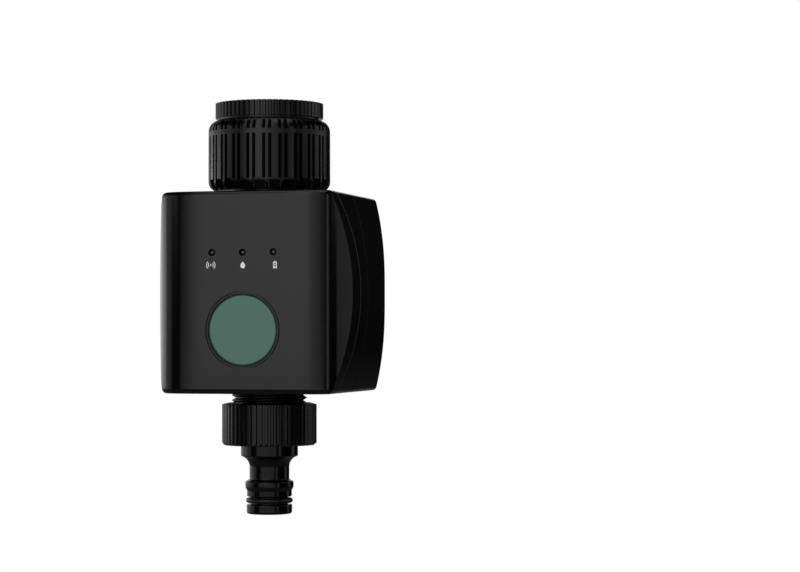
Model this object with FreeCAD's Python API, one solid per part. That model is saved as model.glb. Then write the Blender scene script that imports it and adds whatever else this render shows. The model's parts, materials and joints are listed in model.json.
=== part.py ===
import FreeCAD, Part
import math
import os

# Smart irrigation timer for one hose, hung from a tap by its inlet thread.
# Millimetres. The origin is the centre of the inlet mouth, +Z is up the water path,
# and the front with the button faces -Y.

# Clearances between pieces
run_gap = 0.08
face_gap = 0.05
loose_gap = 0.15
seal_gap = 0.03
cut_over = 1.0

# Shares of a rib's step at its root and tip, and of a screw head for its cross recess
rib_root_share = 0.32
rib_tip_share = 0.18
recess_reach_share = 0.3
recess_half_share = 0.07

# Tap adapter: knurled ring, shoulder, threads and tap washer
ring_d = 38.0
ring_h = 5.3
ring_ribs = 60
ring_rib_depth = 0.55
shoulder_over = 0.8
shoulder_h = 0.6
tap_minor_d = 24.12
tap_thread_len = 9.5
tap_washer_d = 24.8
tap_washer_hole_d = 17.6
tap_washer_t = 2.0
adapter_lip_t = 2.0
adapter_lip_hole_d = 18.0
adapter_thread_d = 33.2
adapter_skirt_bore_d = 27.0

# Swivel inlet nut with ribs, lands and a belt
nut_wall = 4.85
nut_h = 25.0
nut_units = 24
nut_rib_w = 0.95
nut_land_w = 2.3
nut_groove_depth = 1.6
nut_top_round = 4.1
nut_low_round = 3.3
nut_belt_drop = 4.3
nut_belt_h = 1.6
nut_land_stop = 3.7
nut_lip_t = 3.0

# Inlet spout, its washer and filter
spout_d = 24.4
spout_bore_d = 18.4
spout_flange_d = 30.6
spout_flange_t = 2.9
inlet_washer_t = 2.0
inlet_washer_hole_d = 20.0
filter_rim_t = 1.0
filter_rim_d = 30.0
filter_cup_d = 17.6
filter_wall = 0.8
filter_depth = 14.0
filter_slots = 8
filter_slot_w = 2.2
filter_slot_margin = 2.0

# Housing form: a plan outline crossed with bowed sides
nut_to_body = 1.3
body_h = 69.4
front_y = -30.7
rear_y = 33.7
flare_out = 2.65
front_corner_r = 10.0
flare_angle = 22.0
body_half_w = 35.1
body_bow = 4.7
rear_overrun = 0.2
rear_round_margin = 4.0
rear_crease_r = 2.5
rim_r = 1.8
shell_t = 2.2

# Seams between the front panel, the front case and the rear case
front_seam_y = -5.9
front_seam_bulge = 16.3
parting_end_y = 0.0
parting_bulge = 3.4
seam_w = 0.36
seam_depth = 0.4
cord_out = 0.9
cord_in = 1.6
cord_half_w = 0.5

# Front button, its boot and the switch behind it
button_drop = 12.9
button_d = 24.8
button_gap = 0.2
button_sink = 0.25
button_edge_r = 0.7
button_bevel = 0.6
button_plate_t = 1.6
button_skirt_t = 1.2
button_flange_over = 1.1
button_flange_t = 1.0
button_stem_d = 6.0
button_travel = 0.6
boot_rim_w = 1.1
boot_t = 0.6
boot_depth = 2.1
boot_wall_t = 0.8
switch_w = 6.0
plunger_d = 3.4
plunger_out = 1.0
plunger_in = 1.0

# Status lights
light_rise = 13.6
light_pitch = 11.0
light_hole_d = 2.5
light_sink = 0.45
light_flange_d = 4.0
light_flange_t = 0.8
led_w = 1.6
led_h = 0.8

# Circuit board and what it carries
board_front_y = -21.6
board_t = 1.6
board_half_w = 23.5
board_half_h = 28.5
board_corner_r = 2.0
board_screw_x = 20.5
board_screw_dz = 26.0
standoff_d = 4.4
board_screw_d = 1.9
board_screw_head_d = 3.8
board_screw_head_h = 1.3
board_screw_len = 4.6
radio_w = 18.0
radio_h = 13.0
radio_t = 2.2
radio_x = -3.0
radio_dz = -20.0
radio_can_share = 0.7

# Long case screws from the battery bay into the front panel
case_screw_x = 16.5
case_screw_dz = 23.0
case_screw_d = 3.0
case_screw_head_d = 4.8
case_screw_head_h = 1.7
case_screw_len = 30.0
case_boss_d = 5.2
case_boss_meet_y = -10.0

# Ball valve
ball_d = 18.0
ball_bore_d = 10.0
chamber_over = 0.4
seat_t = 3.2
seat_d = 17.6
throat_d = 10.4
throat_len = 6.5
tail_plug_len = 6.4
tail_wall_d = 22.0
slot_w = 3.0
slot_depth = 2.0
stem_d = 5.0
stem_square = 3.4
stem_boss_y = -12.4
stem_seal_d = 7.9
stem_seal_t = 1.7

# Gear train in front of the valve
plate_t = 2.0
plate_gap = 0.2
plate_lobe_r = 6.2
plate_arm_share = 0.8
sector_teeth = 30
sector_teeth_before = 9
sector_teeth_after = 2
sector_hub_d = 11.0
idler_small_teeth = 10
idler_big_teeth = 24
pinion_teeth = 10
module_slow = 0.8
module_fast = 0.6
gear_t = 2.1
layer_gap = 0.2
idler_angle = 50.0
motor_angle = -5.0
axle_d = 2.0
axle_over = 0.4
backlash = 0.14
addendum = 0.75
dedendum = 1.05
pressure_angle = 20.0
plate_screw_x = 8.0
plate_screw_dz = 13.2
plate_screw_pad_d = 4.8
plate_screw_d = 1.9
plate_screw_head_d = 3.6
plate_screw_head_h = 1.2
plate_screw_len = 5.0

# Geared motor
motor_w = 12.0
motor_h = 10.0
gearhead_len = 9.0
motor_can_len = 15.3
motor_cap_len = 0.8
motor_cap_d = 6.0
motor_shaft_d = 3.0
motor_shaft_in = 1.5

# Battery bay, cells and contacts
bay_wall_y = 13.9
bay_wall_t = 1.6
bay_side_t = 1.4
cell_d = 14.2
cell_pitch = 14.4
cell_len = 50.5
cell_nub_d = 5.5
cell_nub_h = 1.0
cell_side_gap = 0.2
cell_front_gap = 0.4
spring_len = 3.9
spring_big_d = 8.0
spring_small_d = 4.6
contact_t = 0.4
contact_w = 10.0
contact_margin = 3.0

# Battery cover on the back
cover_t = 2.0
cover_half_w = 30.0
cover_half_h = 32.2
cover_corner_r = 5.0
gasket_t = 0.6
gasket_w = 0.7
gasket_corner_r = 1.5
cover_screw_x = 22.0
cover_screw_dz = 29.6
cover_screw_d = 2.4
cover_screw_head_d = 4.2
cover_screw_head_h = 1.2
cover_screw_len = 8.0

# Outlet thread, nut and hose nipple
outlet_thread_d = 26.44
outlet_bare_len = 3.65
outlet_nut_wall = 3.43
outlet_nut_h = 14.85
outlet_nut_ribs = 52
outlet_rib_depth = 0.6
outlet_nut_chamfer = 0.8
outlet_nut_cone_w = 2.2
outlet_nut_cone_h = 0.6
outlet_lip_t = 2.9
nipple_flange_t = 1.6
nipple_flange_d = 25.2
outlet_washer_t = 1.8
outlet_washer_hole_d = 10.6
collar_d = 20.1
collar_len = 3.9
sweep_r = 4.0
neck_d = 14.0
neck_len = 4.3
nipple_chamfer = 0.8
barb_d = 17.0
barb_len = 2.0
land_d = 15.8
land_drop = 1.0
land_len = 2.2
groove_d = 12.8
groove_len = 2.8
nipple_seal_d = 16.5
tip_d = 16.0
tip_len = 2.5
tip_round = 0.8
nipple_bore_d = 9.2

# The sides flare out to the full width, and the rear round reaches past the ends of the bow
front_half_w = body_half_w - flare_out
rear_corner_r = body_bow + rear_overrun + rear_round_margin

# Widths that follow the threads inside them
shoulder_d = adapter_thread_d + 2 * shoulder_over
nut_d = adapter_thread_d + 2 * nut_wall
outlet_nut_d = outlet_thread_d + 2 * outlet_nut_wall

# Heights worked out down the water path
z_ring_low = -ring_h
z_nut_top = z_ring_low - shoulder_h
z_nut_low = z_nut_top - nut_h
z_lip_top = z_nut_low + nut_lip_t
z_flange_low = z_lip_top + face_gap
z_flange_top = z_flange_low + spout_flange_t
z_washer_top = z_flange_top + inlet_washer_t
z_filter_top = z_washer_top + filter_rim_t
z_adapter_low = z_filter_top + face_gap
z_body_top = z_nut_low - nut_to_body
z_body_low = z_body_top - body_h
half_h = body_h / 2
z_mid = z_body_top - half_h
z_outlet_nut_top = z_body_low - outlet_bare_len
z_outlet_nut_low = z_outlet_nut_top - outlet_nut_h
z_outlet_lip_top = z_outlet_nut_low + outlet_lip_t
z_nipple_flange_low = z_outlet_lip_top + face_gap
z_nipple_top = z_nipple_flange_low + nipple_flange_t
z_outlet_washer_top = z_nipple_top + outlet_washer_t
z_tail_end = z_outlet_washer_top + face_gap

# Places along the depth
inner_front_y = front_y + shell_t
board_back_y = board_front_y + board_t
plate_back_y = stem_boss_y
plate_front_y = plate_back_y - plate_t
slow_back_y = plate_front_y - plate_gap
slow_front_y = slow_back_y - gear_t
fast_back_y = slow_front_y - layer_gap
fast_front_y = fast_back_y - gear_t
bay_front_y = bay_wall_y + bay_wall_t
cell_y = bay_front_y + cell_front_gap + cell_d / 2
cover_in_y = rear_y - cover_t
shoulder_y = cover_in_y - gasket_t
bay_half_w = 1.5 * cell_pitch + cell_d / 2 + cell_side_gap
bay_half_h = (cell_len + spring_len + 2 * contact_t) / 2

# Gear centres, seen from the front, and their phases
slow_distance = module_slow * (sector_teeth + idler_small_teeth) / 2
fast_distance = module_fast * (idler_big_teeth + pinion_teeth) / 2
idler_x = slow_distance * math.cos(math.radians(idler_angle))
idler_z = z_mid + slow_distance * math.sin(math.radians(idler_angle))
motor_x = idler_x + fast_distance * math.cos(math.radians(motor_angle))
motor_z = idler_z + fast_distance * math.sin(math.radians(motor_angle))

button_z = z_mid - button_drop
light_z = z_mid + light_rise
far = 80.0

up = FreeCAD.Vector(0, 0, 1)
along_y = FreeCAD.Vector(0, 1, 0)


def vec(x, y, z):
    return FreeCAD.Vector(x, y, z)


def rod_z(d, z0, z1, x=0.0, y=0.0):
    """A round bar along Z."""
    return Part.makeCylinder(d / 2, z1 - z0, vec(x, y, z0), up)


def rod_y(d, y0, y1, x, z):
    """A round bar along Y, from either end."""
    return Part.makeCylinder(d / 2, abs(y1 - y0), vec(x, min(y0, y1), z), along_y)


def block(x0, x1, y0, y1, z0, z1):
    """A box between two corners."""
    return Part.makeBox(x1 - x0, y1 - y0, z1 - z0, vec(x0, y0, z0))


def ring_z(d, hole_d, z0, z1):
    """A flat ring round the water path."""
    return rod_z(d, z0, z1).cut(rod_z(hole_d, z0 - cut_over, z1 + cut_over))


def path(start, moves):
    """A closed wire through points; a pair of points is an arc by its middle and end."""
    edges = []
    here = start
    for move in moves + [start]:
        if isinstance(move, tuple):
            via, end = move
            edges.append(Part.Arc(here, via, end).toShape())
        else:
            end = move
            if (end - here).Length > 1e-6:
                edges.append(Part.LineSegment(here, end).toShape())
        here = end
    return Part.Wire(edges)


def turned(points):
    """A solid turned about the water path from an outline of (radius, height) points."""
    wire = Part.makePolygon([vec(r, 0, z) for r, z in points + [points[0]]])
    return Part.Face(wire).revolve(vec(0, 0, 0), up, 360)


def rounded_block(half_w, half_hgt, corner_r, y0, y1, z_centre):
    """A block along Y with four rounded edges, centred on x = 0."""
    solid = block(-half_w, half_w, y0, y1, z_centre - half_hgt, z_centre + half_hgt)
    long_edges = [e for e in solid.Edges if abs(e.tangentAt(e.FirstParameter).y) > 0.99]
    return solid.makeFillet(corner_r, long_edges)


def merged(shapes):
    """One solid from pieces that overlap."""
    whole = shapes[0].multiFuse(shapes[1:])
    return whole.removeSplitter()


def mirrored_four(make, x, dz):
    """Four copies made by make(x, z) at the corners of a rectangle about the middle."""
    return [make(sx * x, z_mid + sz * dz) for sx in (-1, 1) for sz in (-1, 1)]


def housing_plan(inset):
    """The outline seen from above: rounded front corners, flared sides, rounded back."""
    tilt = math.radians(flare_angle)
    r = front_corner_r - inset
    cx = front_half_w - front_corner_r
    cy = front_y + front_corner_r
    front = front_y + inset
    wide = body_half_w + rear_overrun - inset
    back = rear_y - inset
    rr = rear_corner_r - inset
    bx = body_half_w + rear_overrun - rear_corner_r
    by = rear_y - rear_corner_r
    end_x = cx + r * math.cos(tilt)
    end_y = cy - r * math.sin(tilt)
    flare_y = end_y + (wide - end_x) / math.tan(tilt)
    half = math.radians(45)
    turn = math.radians(45 + flare_angle / 2)
    via_x = cx + r * math.sin(turn)
    via_y = cy - r * math.cos(turn)
    rear_via_x = bx + rr * math.cos(half)
    rear_via_y = by + rr * math.sin(half)
    z = z_body_low + inset
    right = [vec(cx, front, z), (vec(via_x, via_y, z), vec(end_x, end_y, z)),
             vec(wide, flare_y, z), vec(wide, by, z),
             (vec(rear_via_x, rear_via_y, z), vec(bx, back, z))]
    left = [vec(-bx, back, z), (vec(-rear_via_x, rear_via_y, z), vec(-wide, by, z)),
            vec(-wide, flare_y, z), vec(-end_x, end_y, z),
            (vec(-via_x, via_y, z), vec(-cx, front, z))]
    return path(right[0], right[1:] + left)


def housing_sides(inset):
    """The outline seen from the front: flat top and bottom, sides bowed outwards."""
    top = z_body_top - inset
    low = z_body_low + inset
    mid_w = body_half_w - inset
    bow_r = (half_h * half_h + body_bow * body_bow) / (2 * body_bow) - inset
    reach = half_h - inset
    end_w = mid_w - bow_r + math.sqrt(bow_r * bow_r - reach * reach)
    y = -far
    return path(vec(-end_w, y, low), [vec(end_w, y, low), (vec(mid_w, y, z_mid), vec(end_w, y, top)),
                                      vec(-end_w, y, top), (vec(-mid_w, y, z_mid), vec(-end_w, y, low))])


def housing_form(inset, softened):
    """The housing as a solid, drawn in by inset, with its edges rounded if softened."""
    plan = Part.Face(housing_plan(inset)).extrude(vec(0, 0, body_h - 2 * inset))
    sides = Part.Face(housing_sides(inset)).extrude(vec(0, 2 * far, 0))
    form = plan.common(sides).Solids[0]
    if not softened:
        return form
    creases = []
    for e in form.Edges:
        box = e.BoundBox
        if box.ZLength > body_h / 2 and box.YMin > rear_y - rear_corner_r and box.YMax < rear_y:
            creases.append(e)
    form = form.makeFillet(rear_crease_r, creases)
    flat = 1e-4
    rims = []
    for e in form.Edges:
        box = e.BoundBox
        if box.ZLength < flat and min(abs(box.ZMin - z_body_top), abs(box.ZMin - z_body_low)) < inset + flat:
            rims.append(e)
    return form.makeFillet(rim_r - inset, rims)


def arc_side(y_mid, bulge, y_far):
    """All that lies between an arc seen from the side and the plane y_far."""
    over = 5.0
    y_end = y_mid - bulge
    x = -far
    wire = path(vec(x, y_far, z_body_low - over),
                [vec(x, y_end, z_body_low - over), vec(x, y_end, z_body_low),
                 (vec(x, y_mid, z_mid), vec(x, y_end, z_body_top)),
                 vec(x, y_end, z_body_top + over), vec(x, y_far, z_body_top + over)])
    return Part.Face(wire).extrude(vec(2 * far, 0, 0))


def seam_band(y_mid, bulge, half_w):
    """A band of constant depth that follows a seam."""
    return arc_side(y_mid - half_w, bulge, far).cut(arc_side(y_mid + half_w, bulge, far))


parting_y = parting_end_y + parting_bulge
outer_form = housing_form(0.0, True)
inner_form = housing_form(shell_t, False)
groove_skin = outer_form.cut(housing_form(seam_depth, True))
cord_skin = housing_form(cord_out, False).cut(housing_form(cord_in, False))
front_band = seam_band(front_seam_y, front_seam_bulge, seam_w / 2)
rear_band = seam_band(parting_y, parting_bulge, seam_w / 2)
seam_grooves = groove_skin.common(front_band).fuse(groove_skin.common(rear_band))
front_cord = cord_skin.common(seam_band(front_seam_y, front_seam_bulge, cord_half_w))
top_hole = rod_z(spout_d + 2 * loose_gap, z_mid, z_body_top + cut_over)
low_hole = rod_z(outlet_thread_d + 2 * loose_gap, z_body_low - cut_over, z_mid)
rear_cord = cord_skin.common(seam_band(parting_y, parting_bulge, cord_half_w)).cut(top_hole).cut(low_hole)
shell = outer_form.cut(inner_form).cut(top_hole).cut(low_hole).cut(seam_grooves)
behind_seam = arc_side(front_seam_y, front_seam_bulge, far)
behind_parting = arc_side(parting_y, parting_bulge, far)


def front_panel():
    """The front face with its sides, the button opening, light holes and inner bosses."""
    body = shell.cut(behind_seam).cut(front_cord)
    hole_d = button_d + 2 * button_gap
    bevel_d = hole_d + 2 * button_bevel
    adds = []
    holes = [rod_y(hole_d, front_y - cut_over, inner_front_y + cut_over, 0, button_z)]
    holes.append(Part.makeCone(bevel_d / 2, hole_d / 2, button_bevel, vec(0, front_y, button_z), along_y))
    for i in (-1, 0, 1):
        x = i * light_pitch
        holes.append(rod_y(light_hole_d, front_y - cut_over, inner_front_y + cut_over, x, light_z))
    root_y = inner_front_y - shell_t / 2
    adds += mirrored_four(lambda x, z: rod_y(standoff_d, root_y, board_front_y, x, z),
                          board_screw_x, board_screw_dz)
    adds += mirrored_four(lambda x, z: rod_y(case_boss_d, root_y, case_boss_meet_y, x, z),
                          case_screw_x, case_screw_dz)
    pilot_y = board_back_y - board_screw_len - face_gap
    holes += mirrored_four(lambda x, z: rod_y(board_screw_d + 2 * seal_gap, pilot_y, 0, x, z),
                           board_screw_x, board_screw_dz)
    tip_y = case_screw_seat_y() - case_screw_len - face_gap
    holes += mirrored_four(lambda x, z: rod_y(case_screw_d + 2 * seal_gap, tip_y, 0, x, z),
                           case_screw_x, case_screw_dz)
    return merged([body] + adds).cut(Part.makeCompound(holes))


def front_case():
    """The ring of housing between the two seams."""
    return shell.common(behind_seam).cut(behind_parting).cut(front_cord).cut(rear_cord)


def case_screw_seat_y():
    """Where the heads of the long screws sit, sunk below the cells."""
    return bay_front_y - case_screw_head_h + cell_front_gap


def cover_prism(gap, y0, y1):
    """The battery cover's outline as a block along Y."""
    return rounded_block(cover_half_w + gap, cover_half_h + gap, cover_corner_r + gap, y0, y1, z_mid)


def rear_case():
    """The back of the housing with the battery bay, its open front and its screw bosses."""
    solid = outer_form.common(behind_parting).cut(seam_grooves).cut(rear_cord)
    wall_x = bay_half_w + bay_side_t
    bay_block = block(-wall_x, wall_x, bay_wall_y, far, z_body_low, z_body_top)
    hollow = inner_form.common(block(-far, far, -far, shoulder_y - shell_t / 2, z_body_low, z_body_top))
    solid = solid.cut(hollow.cut(bay_block)).cut(top_hole).cut(low_hole)
    bay = rounded_block(bay_half_w, bay_half_h, gasket_corner_r, bay_front_y, far, z_mid)
    recess = cover_prism(loose_gap, shoulder_y, far)
    solid = solid.cut(bay).cut(recess)
    core_x = cover_screw_x - cover_screw_d - bay_side_t
    core_low = bay_half_h + bay_side_t
    core_high = half_h - shell_t
    cores = []
    for low, high in ((core_low, core_high), (-core_high, -core_low)):
        cores.append(block(-core_x, core_x, 0, shoulder_y - shell_t / 2, z_mid + low, z_mid + high))
    solid = solid.cut(Part.makeCompound(cores))
    bosses = mirrored_four(lambda x, z: rod_y(case_boss_d, case_boss_meet_y, bay_wall_y + face_gap, x, z),
                           case_screw_x, case_screw_dz)
    solid = merged([solid] + bosses)
    seat_y = case_screw_seat_y()
    holes = mirrored_four(lambda x, z: rod_y(case_screw_d + 2 * run_gap, -far, far, x, z),
                          case_screw_x, case_screw_dz)
    holes += mirrored_four(lambda x, z: rod_y(case_screw_head_d + 2 * loose_gap, seat_y, far, x, z),
                           case_screw_x, case_screw_dz)
    pilot_y = rear_y - cover_screw_head_h - cover_screw_len
    holes += mirrored_four(lambda x, z: rod_y(cover_screw_d + 2 * run_gap, pilot_y, far, x, z),
                           cover_screw_x, cover_screw_dz)
    return solid.cut(Part.makeCompound(holes))


def battery_cover():
    """The panel on the back that follows the housing's form."""
    panel = outer_form.common(cover_prism(0, cover_in_y, far))
    holes = mirrored_four(lambda x, z: rod_y(cover_screw_d + 2 * run_gap, 0, far, x, z),
                          cover_screw_x, cover_screw_dz)
    sink_y = rear_y - cover_screw_head_h - face_gap
    holes += mirrored_four(lambda x, z: rod_y(cover_screw_head_d + 2 * run_gap, sink_y, far, x, z),
                           cover_screw_x, cover_screw_dz)
    return panel.cut(Part.makeCompound(holes))


def cover_gasket():
    """The flat seal between the cover and the bay's rim."""
    outside = rounded_block(bay_half_w + gasket_w, bay_half_h + gasket_w, gasket_corner_r + gasket_w,
                            shoulder_y, cover_in_y, z_mid)
    inside = rounded_block(bay_half_w, bay_half_h, gasket_corner_r,
                           shoulder_y - cut_over, cover_in_y + cut_over, z_mid)
    return outside.cut(inside)


def screw(x, z, tip_y, seat_y, head_y, d, head_d):
    """A pan head screw along Y whose head lies behind its seat, with a cross recess."""
    body = rod_y(d, tip_y, seat_y, x, z).fuse(rod_y(head_d, seat_y, head_y, x, z))
    depth = abs(head_y - seat_y) / 2
    reach = head_d * recess_reach_share
    slit = head_d * recess_half_share
    low = min(head_y, head_y - math.copysign(depth, head_y - seat_y))
    cross = block(x - reach, x + reach, low, low + depth, z - slit, z + slit)
    cross = cross.fuse(block(x - slit, x + slit, low, low + depth, z - reach, z + reach))
    return body.cut(cross)


def cover_screws():
    seat_y = rear_y - cover_screw_head_h
    return mirrored_four(lambda x, z: screw(x, z, seat_y - cover_screw_len + face_gap, seat_y,
                                            rear_y - face_gap, cover_screw_d, cover_screw_head_d),
                         cover_screw_x, cover_screw_dz)


def case_screws():
    seat_y = case_screw_seat_y()
    return mirrored_four(lambda x, z: screw(x, z, seat_y - case_screw_len, seat_y,
                                            seat_y + case_screw_head_h - face_gap,
                                            case_screw_d, case_screw_head_d),
                         case_screw_x, case_screw_dz)


def board_screws():
    tip_y = board_back_y - board_screw_len
    return mirrored_four(lambda x, z: screw(x, z, tip_y, board_back_y, board_back_y + board_screw_head_h,
                                            board_screw_d, board_screw_head_d),
                         board_screw_x, board_screw_dz)


def button_cap():
    """The round button: a soft edged plate, a skirt with a flange behind the wall and a stem."""
    face_y = front_y + button_sink
    plate_y = face_y + button_plate_t
    flange_y = inner_front_y + loose_gap
    end_y = flange_y + button_flange_t
    plate = rod_y(button_d, face_y, end_y, 0, button_z)
    rim = [e for e in plate.Edges if abs(e.BoundBox.YMax - face_y) < 1e-4]
    plate = plate.makeFillet(button_edge_r, rim)
    flange = rod_y(button_d + 2 * button_flange_over, flange_y, end_y, 0, button_z)
    hollow = rod_y(button_d - 2 * button_skirt_t, plate_y, end_y + cut_over, 0, button_z)
    stem = rod_y(button_stem_d, plate_y - face_gap, boot_plate_y() - face_gap, 0, button_z)
    return merged([plate, flange]).cut(hollow).fuse(stem).removeSplitter()


def boot_plate_y():
    """Front face of the boot's middle."""
    return inner_front_y + loose_gap + boot_depth - boot_t


def button_boot():
    """The silicone cup behind the button that keeps the water out."""
    hole = button_d + 2 * button_flange_over + 2 * button_gap
    rim_y = inner_front_y + loose_gap
    end_y = rim_y + boot_depth
    cup = rod_y(hole + 2 * boot_wall_t, rim_y, end_y, 0, button_z)
    rim = rod_y(hole + 2 * boot_wall_t + 2 * boot_rim_w, rim_y, rim_y + boot_t, 0, button_z)
    well = rod_y(hole, rim_y - cut_over, end_y - boot_t, 0, button_z)
    return merged([cup, rim]).cut(well)


def switch_top_y():
    """The plunger's end, just behind the boot."""
    return boot_plate_y() + boot_t + face_gap


def switch_body():
    """The push switch on the board."""
    half = switch_w / 2
    top_y = switch_top_y() + plunger_out
    case = block(-half, half, top_y, board_front_y, button_z - half, button_z + half)
    well_y = top_y + plunger_in + button_travel + face_gap
    well = rod_y(plunger_d + 2 * run_gap, top_y - cut_over, well_y, 0, button_z)
    return case.cut(well)


def switch_plunger():
    top_y = switch_top_y()
    return rod_y(plunger_d, top_y, top_y + plunger_out + plunger_in, 0, button_z)


def light_pipes():
    """Clear pipes that carry each light to the front."""
    pipes = []
    for i in (-1, 0, 1):
        x = i * light_pitch
        tip = rod_y(light_hole_d - 2 * seal_gap, front_y + light_sink, inner_front_y + face_gap, x, light_z)
        flange = rod_y(light_flange_d, inner_front_y, inner_front_y + light_flange_t, x, light_z)
        tail = rod_y(light_hole_d, inner_front_y, board_front_y - led_h - face_gap, x, light_z)
        pipes.append(merged([tip, flange, tail]))
    return pipes


def status_leds():
    half = led_w / 2
    return [block(i * light_pitch - half, i * light_pitch + half, board_front_y - led_h, board_front_y,
                  light_z - half, light_z + half) for i in (-1, 0, 1)]


def circuit_board():
    """The board, with room for the long screw bosses."""
    board = rounded_block(board_half_w, board_half_h, board_corner_r, board_front_y, board_back_y, z_mid)
    holes = mirrored_four(lambda x, z: rod_y(case_boss_d + 2 * loose_gap, -far, 0, x, z),
                          case_screw_x, case_screw_dz)
    holes += mirrored_four(lambda x, z: rod_y(board_screw_d + 2 * run_gap, -far, 0, x, z),
                           board_screw_x, board_screw_dz)
    return board.cut(Part.makeCompound(holes))


def radio_module():
    """The shielded radio on the back of the board, with its antenna strip."""
    x0 = radio_x - radio_w / 2
    z0 = z_mid + radio_dz - radio_h / 2
    base_t = radio_t / 3
    base = block(x0, x0 + radio_w, board_back_y, board_back_y + base_t, z0, z0 + radio_h)
    can_inset = base_t
    can = block(x0 + can_inset, x0 + radio_can_share * radio_w, board_back_y, board_back_y + radio_t,
                z0 + can_inset, z0 + radio_h - can_inset)
    return merged([base, can])


def valve_body():
    """The inlet spout, ball chamber, stem boss and the pads for the gear plate."""
    chamber_d = ball_d + 2 * chamber_over
    seat_top = z_mid + ball_d / 2 + chamber_over
    throat_top = seat_top + throat_len
    bore_low = throat_top + (spout_bore_d - throat_d) / 2
    tail_z = z_mid - ball_d / 2 - chamber_over - tail_plug_len
    outer = rod_z(spout_d, tail_z, z_flange_top)
    flange = rod_z(spout_flange_d, z_flange_low, z_flange_top)
    boss = rod_y(stem_seal_d + 2 * bay_side_t, stem_boss_y, 0, 0, z_mid)
    pads = [rod_y(plate_screw_pad_d, stem_boss_y, 0, x, z) for x, z in plate_screw_places()]
    solid = merged([outer, flange, boss] + pads)
    mouth_z = z_flange_top + cut_over
    inside = turned([(0, mouth_z), (spout_bore_d / 2, mouth_z), (spout_bore_d / 2, bore_low),
                     (throat_d / 2, throat_top), (throat_d / 2, seat_top), (chamber_d / 2, seat_top),
                     (chamber_d / 2, tail_z - cut_over), (0, tail_z - cut_over)])
    stem_hole = rod_y(stem_d + 2 * run_gap, -far, 0, 0, z_mid)
    gland = rod_y(stem_seal_d, stem_boss_y - cut_over, stem_boss_y + stem_seal_t, 0, z_mid)
    pilots = [rod_y(plate_screw_d + 2 * seal_gap, -far, plate_front_y + plate_screw_len + face_gap, x, z)
              for x, z in plate_screw_places()]
    return solid.cut(inside).cut(Part.makeCompound([stem_hole, gland] + pilots))


def plate_screw_places():
    """The three screws that hold the gear plate to the valve body."""
    return [(-plate_screw_x, z_mid + plate_screw_dz), (-plate_screw_x, z_mid - plate_screw_dz),
            (plate_screw_x, z_mid - plate_screw_dz)]


def valve_tail():
    """The outlet spout that closes the ball chamber from below and carries the outlet thread."""
    plug_top = z_mid - ball_d / 2 - chamber_over
    plug_low = plug_top - tail_plug_len
    plug_d = ball_d + 2 * chamber_over - 2 * seal_gap
    thread_top = z_body_low + shell_t + loose_gap
    solid = merged([rod_z(plug_d, plug_low, plug_top), rod_z(spout_d, plug_low - tail_plug_len, plug_low),
                    rod_z(tail_wall_d, thread_top, plug_low), rod_z(outlet_thread_d, z_tail_end, thread_top)])
    return solid.cut(rod_z(throat_d, z_tail_end - cut_over, plug_top + cut_over))


def valve_ball():
    """The drilled ball, shown closed: its bore lies across the water path."""
    ball = Part.makeSphere(ball_d / 2, vec(0, 0, z_mid))
    bore = Part.makeCylinder(ball_bore_d / 2, 2 * ball_d, vec(-ball_d, 0, z_mid), vec(1, 0, 0))
    half = slot_w / 2
    slot = block(-half, half, -ball_d, slot_depth - ball_d / 2, z_mid - ball_d, z_mid + ball_d)
    return ball.cut(bore).cut(slot)


def ball_seats():
    """A sealing ring above and below the ball."""
    ball_room = Part.makeSphere(ball_d / 2 + seal_gap, vec(0, 0, z_mid))
    seats = []
    reach = ball_d / 2 + chamber_over
    for z0, z1 in ((z_mid + reach - seat_t, z_mid + reach), (z_mid - reach, z_mid - reach + seat_t)):
        seats.append(ring_z(seat_d, throat_d, z0, z1).cut(ball_room))
    return seats


def valve_stem():
    """The stem: a tongue in the ball's slot, a round neck and a square end for the gear."""
    half = slot_w / 2 - run_gap
    tongue_y = slot_depth - ball_d / 2 - run_gap
    neck_y = -ball_d / 2 - face_gap
    neck = rod_y(stem_d, plate_front_y, neck_y, 0, z_mid)
    bar = rod_y(stem_d, plate_front_y, tongue_y, 0, z_mid)
    tongue = bar.common(block(-half, half, neck_y - cut_over, tongue_y, z_mid - stem_d, z_mid + stem_d))
    side = stem_square / 2
    square = block(-side, side, slow_front_y, plate_front_y + cut_over, z_mid - side, z_mid + side)
    return merged([neck, tongue, square])


def stem_seal():
    hole = rod_y(stem_d + 2 * seal_gap, -far, 0, 0, z_mid)
    return rod_y(stem_seal_d - 2 * seal_gap, stem_boss_y, stem_boss_y + stem_seal_t, 0, z_mid).cut(hole)


def tooth_half_angle(radius, teeth, module):
    """Half the angle that a tooth fills at a radius, from the involute."""
    pitch_r = module * teeth / 2
    base_r = pitch_r * math.cos(math.radians(pressure_angle))
    flat = math.radians(pressure_angle)
    at = math.acos(min(1.0, base_r / radius))
    thick = math.pi * module / 2 - backlash
    return thick / 2 / pitch_r + (math.tan(flat) - flat) - (math.tan(at) - at)


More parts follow.
